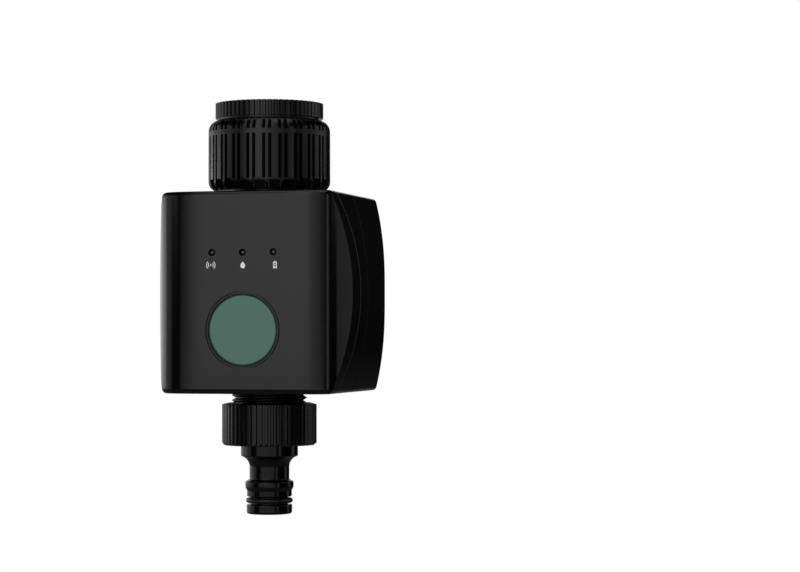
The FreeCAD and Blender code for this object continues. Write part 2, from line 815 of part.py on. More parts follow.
def gear_blank(teeth, module, x, z, y0, y1, phase, first, last):
    """A toothed disc, or a sector of one when it has fewer than all its teeth."""
    pitch_r = module * teeth / 2
    tip_r = pitch_r + addendum * module
    root_r = pitch_r - dedendum * module
    base_r = pitch_r * math.cos(math.radians(pressure_angle))
    low_r = max(root_r, base_r)
    points = []
    for k in range(first, last + 1):
        middle = math.radians(phase + 360.0 * k / teeth)
        foot = -tooth_half_angle(low_r, teeth, module)
        steps = [(root_r, foot), (low_r, foot), (pitch_r, -tooth_half_angle(pitch_r, teeth, module)),
                 (tip_r, -tooth_half_angle(tip_r, teeth, module))]
        steps += [(r, -a) for r, a in reversed(steps)]
        for r, a in steps:
            point = vec(x + r * math.cos(middle + a), y0, z + r * math.sin(middle + a))
            if not points or (point - points[-1]).Length > 1e-4:
                points.append(point)
    if last - first + 1 < teeth:
        points.append(vec(x, y0, z))
    if (points[0] - points[-1]).Length > 1e-4:
        points.append(points[0])
    return Part.Face(Part.makePolygon(points)).extrude(vec(0, y1 - y0, 0))


def full_gear(teeth, module, x, z, y0, y1, phase):
    return gear_blank(teeth, module, x, z, y0, y1, phase, 0, teeth - 1)


def sector_gear():
    """The quarter turn gear on the stem."""
    blank = gear_blank(sector_teeth, module_slow, 0, z_mid, slow_front_y, slow_back_y,
                       idler_angle, -sector_teeth_before, sector_teeth_after)
    hub = rod_y(sector_hub_d, slow_front_y, slow_back_y, 0, z_mid)
    side = stem_square / 2 + face_gap
    hole = block(-side, side, -far, 0, z_mid - side, z_mid + side)
    return merged([blank, hub]).cut(hole)


def idler_gear():
    """The double gear between the motor and the stem."""
    small_phase = idler_angle + 180 + 180 / idler_small_teeth
    small = full_gear(idler_small_teeth, module_slow, idler_x, idler_z,
                      fast_back_y - face_gap, slow_back_y, small_phase)
    big = full_gear(idler_big_teeth, module_fast, idler_x, idler_z, fast_front_y, fast_back_y, motor_angle)
    hole = rod_y(axle_d + 2 * run_gap, -far, 0, idler_x, idler_z)
    return merged([small, big]).cut(hole)


def motor_pinion():
    """The small gear and the shaft that turns it."""
    phase = motor_angle + 180 + 180 / pinion_teeth
    teeth = full_gear(pinion_teeth, module_fast, motor_x, motor_z, fast_front_y, fast_back_y, phase)
    shaft = rod_y(motor_shaft_d, fast_front_y + face_gap, plate_back_y + motor_shaft_in, motor_x, motor_z)
    return merged([teeth, shaft])


def idler_axle():
    return rod_y(axle_d, fast_front_y - axle_over, plate_back_y, idler_x, idler_z)


def arm(x0, z0, x1, z1):
    """A flat arm with round ends between two centres of the gear plate."""
    length = math.hypot(x1 - x0, z1 - z0)
    turn = math.degrees(math.atan2(z1 - z0, x1 - x0))
    bar = block(0, length, plate_front_y, plate_back_y, -plate_lobe_r, plate_lobe_r)
    bar.rotate(vec(0, 0, 0), vec(0, -1, 0), turn)
    bar.translate(vec(x0, 0, z0))
    ends = [rod_y(2 * plate_lobe_r, plate_front_y, plate_back_y, x, z) for x, z in ((x0, z0), (x1, z1))]
    return [bar] + ends


def gear_plate():
    """The plate that carries the gears and the motor on the valve body."""
    pieces = arm(0, z_mid, idler_x, idler_z) + arm(idler_x, idler_z, motor_x, motor_z)
    for x, z in plate_screw_places():
        pieces += arm(0, z_mid, x * plate_arm_share, z_mid + (z - z_mid) * plate_arm_share)
    plate = merged(pieces)
    holes = [rod_y(stem_d + 2 * run_gap, -far, 0, 0, z_mid),
             rod_y(axle_d + 2 * seal_gap, -far, 0, idler_x, idler_z),
             rod_y(motor_shaft_d + 2 * loose_gap, -far, 0, motor_x, motor_z)]
    holes += [rod_y(plate_screw_d + 2 * run_gap, -far, 0, x, z) for x, z in plate_screw_places()]
    return plate.cut(Part.makeCompound(holes))


def plate_screws():
    return [screw(x, z, plate_front_y + plate_screw_len, plate_front_y, plate_front_y - plate_screw_head_h,
                  plate_screw_d, plate_screw_head_d) for x, z in plate_screw_places()]


def motor_gearhead():
    """The reduction box behind the gear plate."""
    half_w = motor_w / 2
    half_t = motor_h / 2
    case = block(motor_x - half_w, motor_x + half_w, plate_back_y, plate_back_y + gearhead_len,
                 motor_z - half_t, motor_z + half_t)
    well_y = plate_back_y + motor_shaft_in + face_gap
    well = rod_y(motor_shaft_d + 2 * run_gap, plate_back_y - cut_over, well_y, motor_x, motor_z)
    return case.cut(well)


def motor_can():
    """The motor: a round can with two flats and an end cap."""
    y0 = plate_back_y + gearhead_len
    half_t = motor_h / 2
    can = rod_y(motor_w, y0, y0 + motor_can_len, motor_x, motor_z)
    can = can.common(block(-far, far, -far, far, motor_z - half_t, motor_z + half_t))
    can_end = y0 + motor_can_len
    cap = rod_y(motor_cap_d, can_end - face_gap, can_end + motor_cap_len, motor_x, motor_z)
    return merged([can, cap])


def cell_places():
    """Middle of each cell and whether its nub points up."""
    return [((i - 1.5) * cell_pitch, i % 2 == 0) for i in range(4)]


def batteries():
    """Four cells side by side, turned end for end in pairs."""
    cells = []
    for x, nub_up in cell_places():
        top = z_mid + bay_half_h - contact_t
        low = top - cell_len
        body = rod_z(cell_d, low, top - cell_nub_h, x, cell_y)
        nub = rod_z(cell_nub_d, top - cell_nub_h - face_gap, top, x, cell_y)
        cell = merged([body, nub])
        if not nub_up:
            cell = cell.mirror(vec(0, 0, z_mid), up)
        cells.append(cell)
    return cells


def contact_springs():
    """The cone shaped spring under each cell's flat end."""
    cones = []
    for x, nub_up in cell_places():
        low = z_mid - bay_half_h + contact_t
        wall = contact_t
        base = vec(x, cell_y, low)
        outside = Part.makeCone(spring_big_d / 2, spring_small_d / 2, spring_len, base, up)
        inside = Part.makeCone(spring_big_d / 2 - wall, spring_small_d / 2 - wall, spring_len, base, up)
        cone = outside.cut(inside)
        if not nub_up:
            cone = cone.mirror(vec(0, 0, z_mid), up)
        cones.append(cone)
    return cones


def contact_plates():
    """Two plates bridge the cells at the top, and four single plates lie below."""
    half = contact_w / 2
    reach = cell_pitch / 2 - contact_margin
    top = z_mid + bay_half_h
    plates = []
    for x in (-cell_pitch, cell_pitch):
        plates.append(block(x - cell_pitch / 2 - half, x + cell_pitch / 2 + half,
                            cell_y - reach, cell_y + reach, top - contact_t, top))
    for x, nub_up in cell_places():
        plates.append(block(x - half, x + half, cell_y - reach, cell_y + reach,
                            z_mid - bay_half_h, z_mid - bay_half_h + contact_t))
    return plates


def knurled(d, depth, ribs, z0, z1):
    """A disc with straight ribs round its edge."""
    points = []
    tip_r = d / 2
    root_r = tip_r - depth
    step = 360.0 / ribs
    for k in range(ribs):
        for r, share in ((root_r, -rib_root_share), (tip_r, -rib_tip_share),
                         (tip_r, rib_tip_share), (root_r, rib_root_share)):
            a = math.radians((k + share) * step)
            points.append(vec(r * math.cos(a), r * math.sin(a), z0))
    points.append(points[0])
    return Part.Face(Part.makePolygon(points)).extrude(vec(0, 0, z1 - z0))


def thread_adapter():
    """The adapter: a knurled ring above, a tap thread inside and a nut thread outside."""
    outside = merged([knurled(ring_d, ring_rib_depth, ring_ribs, z_ring_low, 0),
                      rod_z(shoulder_d, z_nut_top, z_ring_low),
                      rod_z(adapter_thread_d, z_adapter_low, z_nut_top)])
    washer_top = -tap_thread_len
    washer_low = washer_top - tap_washer_t - face_gap
    lip_low = washer_low - adapter_lip_t
    recess_r = tap_washer_d / 2 + run_gap
    inside = turned([(0, cut_over), (tap_minor_d / 2, cut_over), (tap_minor_d / 2, washer_top),
                     (recess_r, washer_top), (recess_r, washer_low), (adapter_lip_hole_d / 2, washer_low),
                     (adapter_lip_hole_d / 2, lip_low), (adapter_skirt_bore_d / 2, lip_low),
                     (adapter_skirt_bore_d / 2, z_adapter_low - cut_over), (0, z_adapter_low - cut_over)])
    return outside.cut(inside)


def tap_washer():
    low = -tap_thread_len - tap_washer_t - face_gap
    return ring_z(tap_washer_d, tap_washer_hole_d, low, low + tap_washer_t)


def nut_envelope():
    """The inlet nut's full outline before its grooves are cut."""
    solid = rod_z(nut_d, z_nut_low, z_nut_top)
    tops = [e for e in solid.Edges if e.BoundBox.ZLength < 1e-4 and abs(e.BoundBox.ZMin - z_nut_top) < 1e-4]
    solid = solid.makeFillet(nut_top_round, tops)
    lows = [e for e in solid.Edges if e.BoundBox.ZLength < 1e-4 and abs(e.BoundBox.ZMin - z_nut_low) < 1e-4]
    return solid.makeFillet(nut_low_round, lows)


def inlet_nut():
    """The swivel nut: narrow ribs and wide lands between grooves, tied by a belt."""
    outer_r = nut_d / 2
    core_r = outer_r - nut_groove_depth
    belt_top = z_nut_top - nut_belt_drop
    belt_low = belt_top - nut_belt_h
    land_low = z_nut_low + nut_land_stop
    pitch = math.pi * nut_d / nut_units
    groove_w = (pitch - nut_rib_w - nut_land_w) / 2
    cutters = []
    for k in range(nut_units):
        for side in (-1, 1):
            middle = side * (nut_rib_w + groove_w) / 2
            for z0, z1 in ((land_low, belt_low), (belt_top, z_nut_top + cut_over)):
                cutters.append(slotted(k, core_r, middle - groove_w / 2, middle + groove_w / 2, z0, z1))
        foot = z_nut_low - cut_over
        cutters.append(slotted(k, core_r, nut_rib_w / 2, pitch - nut_rib_w / 2, foot, land_low))
    shape = nut_envelope().cut(Part.makeCompound(cutters))
    skin = rod_z(2 * core_r, z_nut_low + nut_low_round / 2, z_nut_top - nut_top_round)
    shape = merged([shape, skin])
    thread_bore = rod_z(adapter_thread_d + 2 * run_gap, z_filter_top - inlet_washer_t, z_nut_top + cut_over)
    seat_bore = rod_z(spout_flange_d + 2 * loose_gap, z_lip_top, z_filter_top)
    lip_bore = rod_z(spout_d + 2 * run_gap, z_nut_low - cut_over, z_nut_top)
    return shape.cut(thread_bore).cut(seat_bore).cut(lip_bore)


def slotted(k, inner_r, across0, across1, z0, z1):
    """A cutter outside inner_r, between two places measured round the nut's edge."""
    outer = nut_d
    r = nut_d / 2
    start = 2 * math.pi * k / nut_units
    a0 = start + across0 / r
    a1 = start + across1 / r
    am = (a0 + a1) / 2
    points = [vec(d * math.cos(a), d * math.sin(a), z0) for d, a in ((inner_r, a0), (outer, a0), (outer, a1),
                                                                     (inner_r, a1))]
    via = vec(inner_r * math.cos(am), inner_r * math.sin(am), z0)
    wire = path(points[0], points[1:] + [(via, points[0])])
    return Part.Face(wire).extrude(vec(0, 0, z1 - z0))


def inlet_washer():
    return ring_z(spout_flange_d - 2 * loose_gap, inlet_washer_hole_d, z_flange_top, z_washer_top)


def inlet_filter():
    """The strainer cup with its rim clamped on the washer."""
    cup_low = z_washer_top - filter_depth
    cup = rod_z(filter_cup_d, cup_low, z_filter_top)
    rim = rod_z(filter_rim_d, z_washer_top, z_filter_top)
    hollow = rod_z(filter_cup_d - 2 * filter_wall, cup_low + filter_wall, z_filter_top + cut_over)
    slots = []
    half = filter_slot_w / 2
    for k in range(filter_slots // 2):
        slot = block(-filter_cup_d, filter_cup_d, -half, half, cup_low + filter_slot_margin,
                     z_washer_top - filter_slot_margin)
        slot.rotate(vec(0, 0, 0), up, 360.0 * k / filter_slots)
        slots.append(slot)
    return merged([cup, rim]).cut(hollow).cut(Part.makeCompound(slots))


def outlet_nut():
    """The knurled nut that holds the hose nipple on the outlet thread."""
    blank = knurled(outlet_nut_d, outlet_rib_depth, outlet_nut_ribs, z_outlet_nut_low, z_outlet_nut_top)
    r = outlet_nut_d / 2
    c = outlet_nut_chamfer
    form = turned([(0, z_outlet_nut_low), (r - c, z_outlet_nut_low), (r, z_outlet_nut_low + c),
                   (r, z_outlet_nut_top - outlet_nut_cone_h),
                   (r - outlet_nut_cone_w, z_outlet_nut_top), (0, z_outlet_nut_top)])
    thread = rod_z(outlet_thread_d + 2 * run_gap, z_outlet_lip_top, z_outlet_nut_top + cut_over)
    lip = rod_z(collar_d + 2 * run_gap, z_outlet_nut_low - cut_over, z_outlet_nut_top)
    return blank.common(form).cut(thread).cut(lip)


def nipple_heights():
    """Heights of the nipple's steps, from the collar down to its tip."""
    z_collar = z_outlet_nut_low - collar_len
    z_sweep = z_collar - math.sqrt(sweep_r ** 2 - (neck_d / 2 + sweep_r - collar_d / 2) ** 2)
    z_neck = z_sweep - neck_len
    z_barb = z_neck - nipple_chamfer
    z_barb_low = z_barb - barb_len
    z_land = z_barb_low - land_drop
    z_land_low = z_land - land_len
    z_groove_low = z_land_low - groove_len
    z_tip_low = z_groove_low - tip_len
    return z_collar, z_sweep, z_neck, z_barb, z_barb_low, z_land, z_land_low, z_groove_low, z_tip_low


def hose_nipple():
    """The quick fit hose nipple, turned in one piece with its flange."""
    heights = nipple_heights()
    z_collar, z_sweep, z_neck, z_barb, z_barb_low = heights[:5]
    z_land, z_land_low, z_groove_low, z_tip_low = heights[5:]
    z_end = z_tip_low - tip_round
    bore = nipple_bore_d / 2
    neck = neck_d / 2
    turn = math.acos((neck + sweep_r - collar_d / 2) / sweep_r) / 2
    via = vec(neck + sweep_r - sweep_r * math.cos(turn), 0, z_sweep + sweep_r * math.sin(turn))
    corner = math.radians(45)
    tip = tip_d / 2
    tip_via = vec(tip - tip_round + tip_round * math.cos(corner), 0, z_tip_low - tip_round * math.sin(corner))
    outline = [vec(nipple_flange_d / 2, 0, z_nipple_top), vec(nipple_flange_d / 2, 0, z_nipple_flange_low),
               vec(collar_d / 2, 0, z_nipple_flange_low), vec(collar_d / 2, 0, z_collar),
               (via, vec(neck, 0, z_sweep)), vec(neck, 0, z_neck), vec(barb_d / 2, 0, z_barb),
               vec(barb_d / 2, 0, z_barb_low), vec(land_d / 2, 0, z_land), vec(land_d / 2, 0, z_land_low),
               vec(groove_d / 2, 0, z_land_low), vec(groove_d / 2, 0, z_groove_low),
               vec(tip, 0, z_groove_low), vec(tip, 0, z_tip_low),
               (tip_via, vec(tip - tip_round, 0, z_end)), vec(bore, 0, z_end)]
    wire = path(vec(bore, 0, z_nipple_top), outline)
    return Part.Face(wire).revolve(vec(0, 0, 0), up, 360)


def nipple_seal():
    """The round seal in the nipple's groove."""
    heights = nipple_heights()
    z_middle = (heights[6] + heights[7]) / 2
    section = (nipple_seal_d - groove_d) / 4 - seal_gap
    return Part.makeTorus(nipple_seal_d / 2 - section, section, vec(0, 0, z_middle))


def outlet_washer():
    return ring_z(nipple_flange_d, outlet_washer_hole_d, z_nipple_top, z_outlet_washer_top)


NODES = {
    "front_panel": front_panel, "front_case": front_case, "rear_case": rear_case,
    "front_seal": lambda: front_cord, "rear_seal": lambda: rear_cord,
    "battery_cover": battery_cover, "cover_gasket": cover_gasket, "cover_screws": cover_screws,
    "case_screws": case_screws, "board_screws": board_screws,
    "button_cap": button_cap, "button_boot": button_boot,
    "switch_body": switch_body, "switch_plunger": switch_plunger,
    "light_pipes": light_pipes, "status_leds": status_leds,
    "circuit_board": circuit_board, "radio_module": radio_module,
    "valve_body": valve_body, "valve_tail": valve_tail, "valve_ball": valve_ball,
    "ball_seats": ball_seats, "valve_stem": valve_stem, "stem_seal": stem_seal,
    "sector_gear": sector_gear, "idler_gear": idler_gear, "idler_axle": idler_axle,
    "motor_pinion": motor_pinion, "motor_gearhead": motor_gearhead, "motor_can": motor_can,
    "gear_plate": gear_plate, "plate_screws": plate_screws,
    "batteries": batteries, "contact_springs": contact_springs, "contact_plates": contact_plates,
    "thread_adapter": thread_adapter, "tap_washer": tap_washer, "inlet_nut": inlet_nut,
    "inlet_washer": inlet_washer, "inlet_filter": inlet_filter,
    "outlet_nut": outlet_nut, "outlet_washer": outlet_washer,
    "hose_nipple": hose_nipple, "nipple_seal": nipple_seal,
}

os.makedirs("parts", exist_ok=True)
for name, make in NODES.items():
    shape = make()
    if isinstance(shape, list):
        shape = Part.makeCompound(shape)
    if not shape.isValid():
        print("not valid:", name)
    shape.exportStep("parts/" + name + ".step")
    print(name, len(shape.Solids), round(shape.Volume, 1))
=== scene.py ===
"""Looks and stage of a smart irrigation timer that hangs from a garden tap."""
import json
import math

import bpy
from bpy.props import FloatProperty, FloatVectorProperty, PointerProperty
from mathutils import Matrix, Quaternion, Vector

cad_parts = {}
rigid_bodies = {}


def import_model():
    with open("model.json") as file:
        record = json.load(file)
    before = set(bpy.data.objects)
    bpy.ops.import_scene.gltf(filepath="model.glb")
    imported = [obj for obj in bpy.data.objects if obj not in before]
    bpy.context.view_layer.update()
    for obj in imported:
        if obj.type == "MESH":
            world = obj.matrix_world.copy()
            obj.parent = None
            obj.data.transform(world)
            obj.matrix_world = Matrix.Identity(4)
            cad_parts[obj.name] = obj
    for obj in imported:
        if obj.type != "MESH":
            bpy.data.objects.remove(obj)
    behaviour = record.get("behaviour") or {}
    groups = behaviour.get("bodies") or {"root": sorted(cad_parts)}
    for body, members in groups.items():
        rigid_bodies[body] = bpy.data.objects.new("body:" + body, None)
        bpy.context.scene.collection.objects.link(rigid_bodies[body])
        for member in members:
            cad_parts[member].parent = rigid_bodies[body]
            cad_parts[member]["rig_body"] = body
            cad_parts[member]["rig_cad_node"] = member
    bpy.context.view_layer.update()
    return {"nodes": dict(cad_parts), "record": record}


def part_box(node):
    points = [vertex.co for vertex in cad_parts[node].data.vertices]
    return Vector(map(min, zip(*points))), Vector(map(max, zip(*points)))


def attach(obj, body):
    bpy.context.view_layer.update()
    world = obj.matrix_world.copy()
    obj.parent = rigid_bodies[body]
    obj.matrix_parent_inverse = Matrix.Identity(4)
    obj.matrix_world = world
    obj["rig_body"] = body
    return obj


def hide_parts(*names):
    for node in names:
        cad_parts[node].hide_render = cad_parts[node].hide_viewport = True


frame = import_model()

bl_info = {
    "name": "Irrigation timer",
    "version": (1, 0, 0),
    "blender": (4, 5, 0),
    "location": "View3D > Sidebar > Timer",
    "description": "Finishes the housing, nuts, threads, button and lights of a tap timer",
    "category": "Object",
}

# Lengths are in metres and angles in radians. Boxes come from the frame as a low and a high corner.
MM = 0.001
PANEL_LOW, PANEL_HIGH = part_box("front_panel")
PANEL_SIZE = PANEL_HIGH - PANEL_LOW
PANEL_MIDDLE = (PANEL_LOW + PANEL_HIGH) / 2
FACE_Y = PANEL_LOW.y
BUTTON_LOW, BUTTON_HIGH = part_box("button_cap")
BUTTON_MIDDLE = (BUTTON_LOW + BUTTON_HIGH) / 2
LIGHTS_LOW, LIGHTS_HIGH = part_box("light_pipes")
LIGHT_Z = (LIGHTS_LOW.z + LIGHTS_HIGH.z) / 2
TAIL_LOW, TAIL_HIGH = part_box("valve_tail")
NUT_LOW, NUT_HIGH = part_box("inlet_nut")
RING_TOP_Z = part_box("thread_adapter")[1].z
WASHER_TOP_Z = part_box("tap_washer")[1].z

MERGE_DISTANCE = 0.000001
FLAT_ANGLE = math.radians(0.3)
QUARTER_TURN = math.radians(90)
FULL_TURN = math.radians(360)
ORIGIN = (0.0, 0.0, 0.0)
UPRIGHT = (0.0, 0.0, 1.0)
WHITE = (1.0, 1.0, 1.0, 1.0)
ROUND_STEPS = 128

# The upper nut's ribs, and the angle from the groove on one side of a rib to that on its other side
NUT_RIBS = 24
GROOVE_SPREAD = math.radians(5.69)

# Where each seam stands at mid height in side view, and how far it bulges back from its ends
FRONT_SEAM_Y, FRONT_SEAM_BULGE = -5.9 * MM, 16.3 * MM
PARTING_Y, PARTING_BULGE = 3.4 * MM, 3.4 * MM


def clear_selection():
    """Leaves edit mode and deselects everything."""
    if bpy.context.mode != "OBJECT":
        bpy.ops.object.mode_set(mode="OBJECT")
    bpy.ops.object.select_all(action="DESELECT")


def pick(piece):
    """Makes piece the only selected and the active object."""
    clear_selection()
    piece.select_set(True)
    bpy.context.view_layer.objects.active = piece


def edit_all(piece):
    """Opens piece in edit mode with all of it selected."""
    pick(piece)
    bpy.ops.object.mode_set(mode="EDIT")
    bpy.ops.mesh.select_all(action="SELECT")


def close_edit():
    """Goes back to picking corners, then to object mode."""
    bpy.ops.mesh.select_mode(type="VERT")
    bpy.ops.object.mode_set(mode="OBJECT")


def modify(piece, kind, **settings):
    """Adds a modifier with these settings and applies it."""
    pick(piece)
    bpy.ops.object.modifier_add(type=kind)
    modifier = piece.modifiers[-1]
    for key, value in settings.items():
        setattr(modifier, key, value)
    bpy.ops.object.modifier_apply(modifier=modifier.name)


def settle(piece, name):
    """Names a piece and moves its place into its mesh."""
    pick(piece)
    bpy.ops.object.transform_apply(location=True, rotation=True, scale=True)
    piece.name = name
    piece.data.name = name
    return piece


def tidy_normals(piece):
    """Merges doubles and turns all faces outwards."""
    edit_all(piece)
    bpy.ops.mesh.remove_doubles(threshold=MERGE_DISTANCE)
    bpy.ops.mesh.normals_make_consistent(inside=False)
    close_edit()


def join(pieces):
    """Joins pieces into the first of them."""
    pick(pieces[0])
    for piece in pieces[1:]:
        piece.select_set(True)
    if len(pieces) > 1:
        bpy.ops.object.join()
    return pieces[0]


def cut_off(piece, point, outward):
    """Cuts a piece flat at a point, drops what lies outward and closes the cut."""
    edit_all(piece)
    bpy.ops.mesh.bisect(plane_co=point, plane_no=outward, use_fill=True, clear_outer=True)
    close_edit()


def cut_away(piece, tool):
    """Takes the tool's volume out of the piece and deletes the tool."""
    modify(piece, "BOOLEAN", operation="DIFFERENCE", object=tool, solver="EXACT")
    bpy.data.objects.remove(tool)


def repeat_round(count):
    """Repeats what is selected in edit mode round the water path."""
    bpy.ops.mesh.spin(steps=count - 1, angle=FULL_TURN * (count - 1) / count, dupli=True, center=ORIGIN,
                      axis=UPRIGHT)


def merged_copy(node, name):
    """A copy of a CAD node with its corners merged and its flat faces joined."""
    pick(frame["nodes"][node])
    bpy.ops.object.duplicate(linked=False)
    piece = bpy.context.active_object
    bpy.ops.object.parent_clear(type="CLEAR")
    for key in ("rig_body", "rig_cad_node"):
        del piece[key]
    piece.name = name
    piece.data.name = name
    bpy.ops.mesh.customdata_custom_splitnormals_clear()
    edit_all(piece)
    bpy.ops.mesh.remove_doubles(threshold=MERGE_DISTANCE)
    bpy.ops.mesh.dissolve_limited(angle_limit=FLAT_ANGLE)
    close_edit()
    return piece


def soften(piece, width, segments=2, angle=30.0, smooth=34.0):
    """Rounds the edges that turn by more than an angle and shades the rest smooth."""
    modify(piece, "BEVEL", width=width, segments=segments, limit_method="ANGLE",
           angle_limit=math.radians(angle), harden_normals=False, use_clamp_overlap=True)
    pick(piece)
    bpy.ops.object.shade_smooth_by_angle(angle=math.radians(smooth))
    modify(piece, "WEIGHTED_NORMAL", mode="FACE_AREA_WITH_ANGLE", weight=60, keep_sharp=True)


def seat(piece, body, slot, *nodes):
    """Lets a piece ride on a body, take a slot's finish and stand for CAD nodes."""
    if not piece.data.polygons:
        raise RuntimeError(piece.name + " came out without faces")
    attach(piece, body)
    if nodes:
        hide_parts(*nodes)
    paint(piece, FINISHES[slot]())


def paint(piece, material):
    """Gives a piece one material all over."""
    piece.data.materials.clear()
    piece.data.materials.append(material)
    for face in piece.data.polygons:
        face.material_index = 0


def dress(node, name, width, body, slot, segments=2):
    """Puts a copy of a CAD node with rounded edges in the node's place."""
    piece = merged_copy(node, name)
    soften(piece, width, segments)
    seat(piece, body, slot, node)
    return piece


def link(tree, source, target):
    """Links a socket to the target, or puts a plain number on it."""
    if isinstance(source, (int, float)):
        target.default_value = source
    else:
        tree.links.new(source, target)


def math_node(tree, operation, first, second):
    """A Math node whose inputs are sockets or numbers."""
    node = tree.nodes.new("ShaderNodeMath")
    node.operation = operation
    link(tree, first, node.inputs[0])
    link(tree, second, node.inputs[1])
    return node.outputs[0]


def plus(tree, first, second):
    return math_node(tree, "ADD", first, second)


def minus(tree, first, second):
    return math_node(tree, "SUBTRACT", first, second)


def times(tree, first, second):
    return math_node(tree, "MULTIPLY", first, second)


def noise_node(tree, vector, scale, detail=2.0):
    """A noise that swings about 0.5, its scale a socket or a number."""
    node = tree.nodes.new("ShaderNodeTexNoise")
    node.inputs["Detail"].default_value = detail
    link(tree, vector, node.inputs["Vector"])
    link(tree, scale, node.inputs["Scale"])
    return node.outputs["Fac"]


def scaled_colour(tree, colour, factor):
    """A colour socket times a factor."""
    node = tree.nodes.new("ShaderNodeVectorMath")
    node.operation = "SCALE"
    link(tree, colour, node.inputs[0])
    link(tree, factor, node.inputs["Scale"])
    return node.outputs[0]


def add_socket(group, label, in_out):
    """A colour socket where it is called Colour, and otherwise a number."""
    kind = "NodeSocketColor" if label == "Colour" else "NodeSocketFloat"
    return group.interface.new_socket(name=label, in_out=in_out, socket_type=kind)


def new_group(name, inputs, outputs=("Colour", "Roughness", "Height")):
    """An empty shader group with named sockets, and its input and output nodes."""
    group = bpy.data.node_groups.new(name, "ShaderNodeTree")
    for label, value in inputs.items():
        add_socket(group, label, "INPUT").default_value = value
    for label in outputs:
        add_socket(group, label, "OUTPUT")
    return group, group.nodes.new("NodeGroupInput"), group.nodes.new("NodeGroupOutput")


def shared(build):
    """The shader group named after the function that builds it, built only once."""
    return bpy.data.node_groups.get(build.__name__) or build()


def moulded_grain():
    """Shared effect: spark eroded grain with slow drifts of tone and gloss."""
    inputs = {"Colour": (0.5, 0.5, 0.5, 1.0), "Tint": 0.1, "Gloss": 0.4, "Drift": 0.06, "Grain scale": 5000.0}
    group, start, end = new_group("moulded_grain", inputs)
    place = group.nodes.new("ShaderNodeTexCoord").outputs["Object"]
    slow = noise_node(group, place, 90.0, 3.0)
    fine = noise_node(group, place, start.outputs["Grain scale"], 3.0)
    both = plus(group, slow, times(group, fine, 0.5))
    swing = minus(group, both, 0.75)
    scale = plus(group, times(group, swing, start.outputs["Tint"]), 1.0)
    rough = plus(group, start.outputs["Gloss"], times(group, swing, start.outputs["Drift"]))
    link(group, scaled_colour(group, start.outputs["Colour"], scale), end.inputs["Colour"])
    link(group, rough, end.inputs["Roughness"])
    link(group, fine, end.inputs["Height"])
    return group


def seam_highlight_paint():
    """Shared effect: a painted highlight, a lighter band just behind an arc seen from the side, painted
    stronger toward the top.
    """
    inputs = {"Colour": (0.5, 0.5, 0.5, 1.0), "Centre y": 0.0, "Centre z": 0.0, "Radius": 0.0,
              "Height": 0.0, "Reach": 0.0, "Tone": 0.0}
    group, start, end = new_group("seam_highlight_paint", inputs, ("Colour",))
    place = group.nodes.new("ShaderNodeSeparateXYZ")
    link(group, group.nodes.new("ShaderNodeTexCoord").outputs["Object"], place.inputs[0])
    along = minus(group, place.outputs["Y"], start.outputs["Centre y"])
    up = minus(group, place.outputs["Z"], start.outputs["Centre z"])
    squares = plus(group, times(group, along, along), times(group, up, up))
    away = minus(group, math_node(group, "SQRT", squares, 0.0), start.outputs["Radius"])
    far = math_node(group, "DIVIDE", away, start.outputs["Reach"])
    band = minus(group, 1.0, times(group, far, far))
    climb = math_node(group, "DIVIDE", up, start.outputs["Height"])
    lean = plus(group, 1.0, times(group, 0.6, climb))
    # Painted highlight: the band's brightness, raised toward the top.
    painted_band = times(group, math_node(group, "MAXIMUM", band, 0.0), lean)
    light = times(group, painted_band, start.outputs["Tone"])
    painted_band_colour = group.nodes.new("ShaderNodeCombineXYZ")
    for label in "XYZ":
        link(group, light, painted_band_colour.inputs[label])
    total = group.nodes.new("ShaderNodeVectorMath")
    link(group, start.outputs["Colour"], total.inputs[0])
    link(group, painted_band_colour.outputs[0], total.inputs[1])
    link(group, total.outputs[0], end.inputs["Colour"])
    return group


def turned_lines():
    """Shared effect: fine tool marks round the part, for metal."""
    inputs = {"Colour": (0.6, 0.6, 0.6, 1.0), "Gloss": 0.3, "Line scale": 6000.0}
    group, start, end = new_group("turned_lines", inputs)
    place = group.nodes.new("ShaderNodeTexCoord").outputs["Object"]
    stretch = group.nodes.new("ShaderNodeMapping")
    stretch.inputs["Scale"].default_value = (0.05, 1.0, 0.05)
    link(group, place, stretch.inputs["Vector"])
    lines = noise_node(group, stretch.outputs["Vector"], start.outputs["Line scale"], 2.0)
    patch = noise_node(group, place, 300.0, 2.0)
    scale = plus(group, times(group, patch, 0.3), 0.85)
    rough = plus(group, start.outputs["Gloss"], times(group, lines, 0.15))
    link(group, scaled_colour(group, start.outputs["Colour"], scale), end.inputs["Colour"])
    link(group, rough, end.inputs["Roughness"])
    link(group, lines, end.inputs["Height"])
    return group


def finish_with(name, group, values, bump, **surface):
    """A material whose colour, roughness and relief come from a shared effect."""
    if name in bpy.data.materials:
        return bpy.data.materials[name]
    material = bpy.data.materials.new(name)
    material.use_nodes = True
    tree = material.node_tree
    shader = tree.nodes["Principled BSDF"]
    effect = tree.nodes.new("ShaderNodeGroup")
    effect.node_tree = group
    for label, value in values.items():
        effect.inputs[label].default_value = value
    relief = tree.nodes.new("ShaderNodeBump")
    relief.inputs["Strength"].default_value = 1.0
    relief.inputs["Distance"].default_value = bump
    link(tree, effect.outputs["Colour"], shader.inputs["Base Color"])
    link(tree, effect.outputs["Roughness"], shader.inputs["Roughness"])
    link(tree, effect.outputs["Height"], relief.inputs["Height"])
    link(tree, relief.outputs["Normal"], shader.inputs["Normal"])
    for label, value in surface.items():
        shader.inputs[label.replace("_", " ")].default_value = value
    return material


def plastic(name, colour, gloss, tint=0.12, drift=0.06, scale=5000.0, bump=0.000002, **surface):
    """A moulded plastic or rubber: tint, drift and scale rule its grain, bump is the grain's height."""
    values = {"Colour": (*colour, 1.0), "Tint": tint, "Gloss": gloss, "Drift": drift, "Grain scale": scale}
    return finish_with(name, shared(moulded_grain), values, bump, **surface)


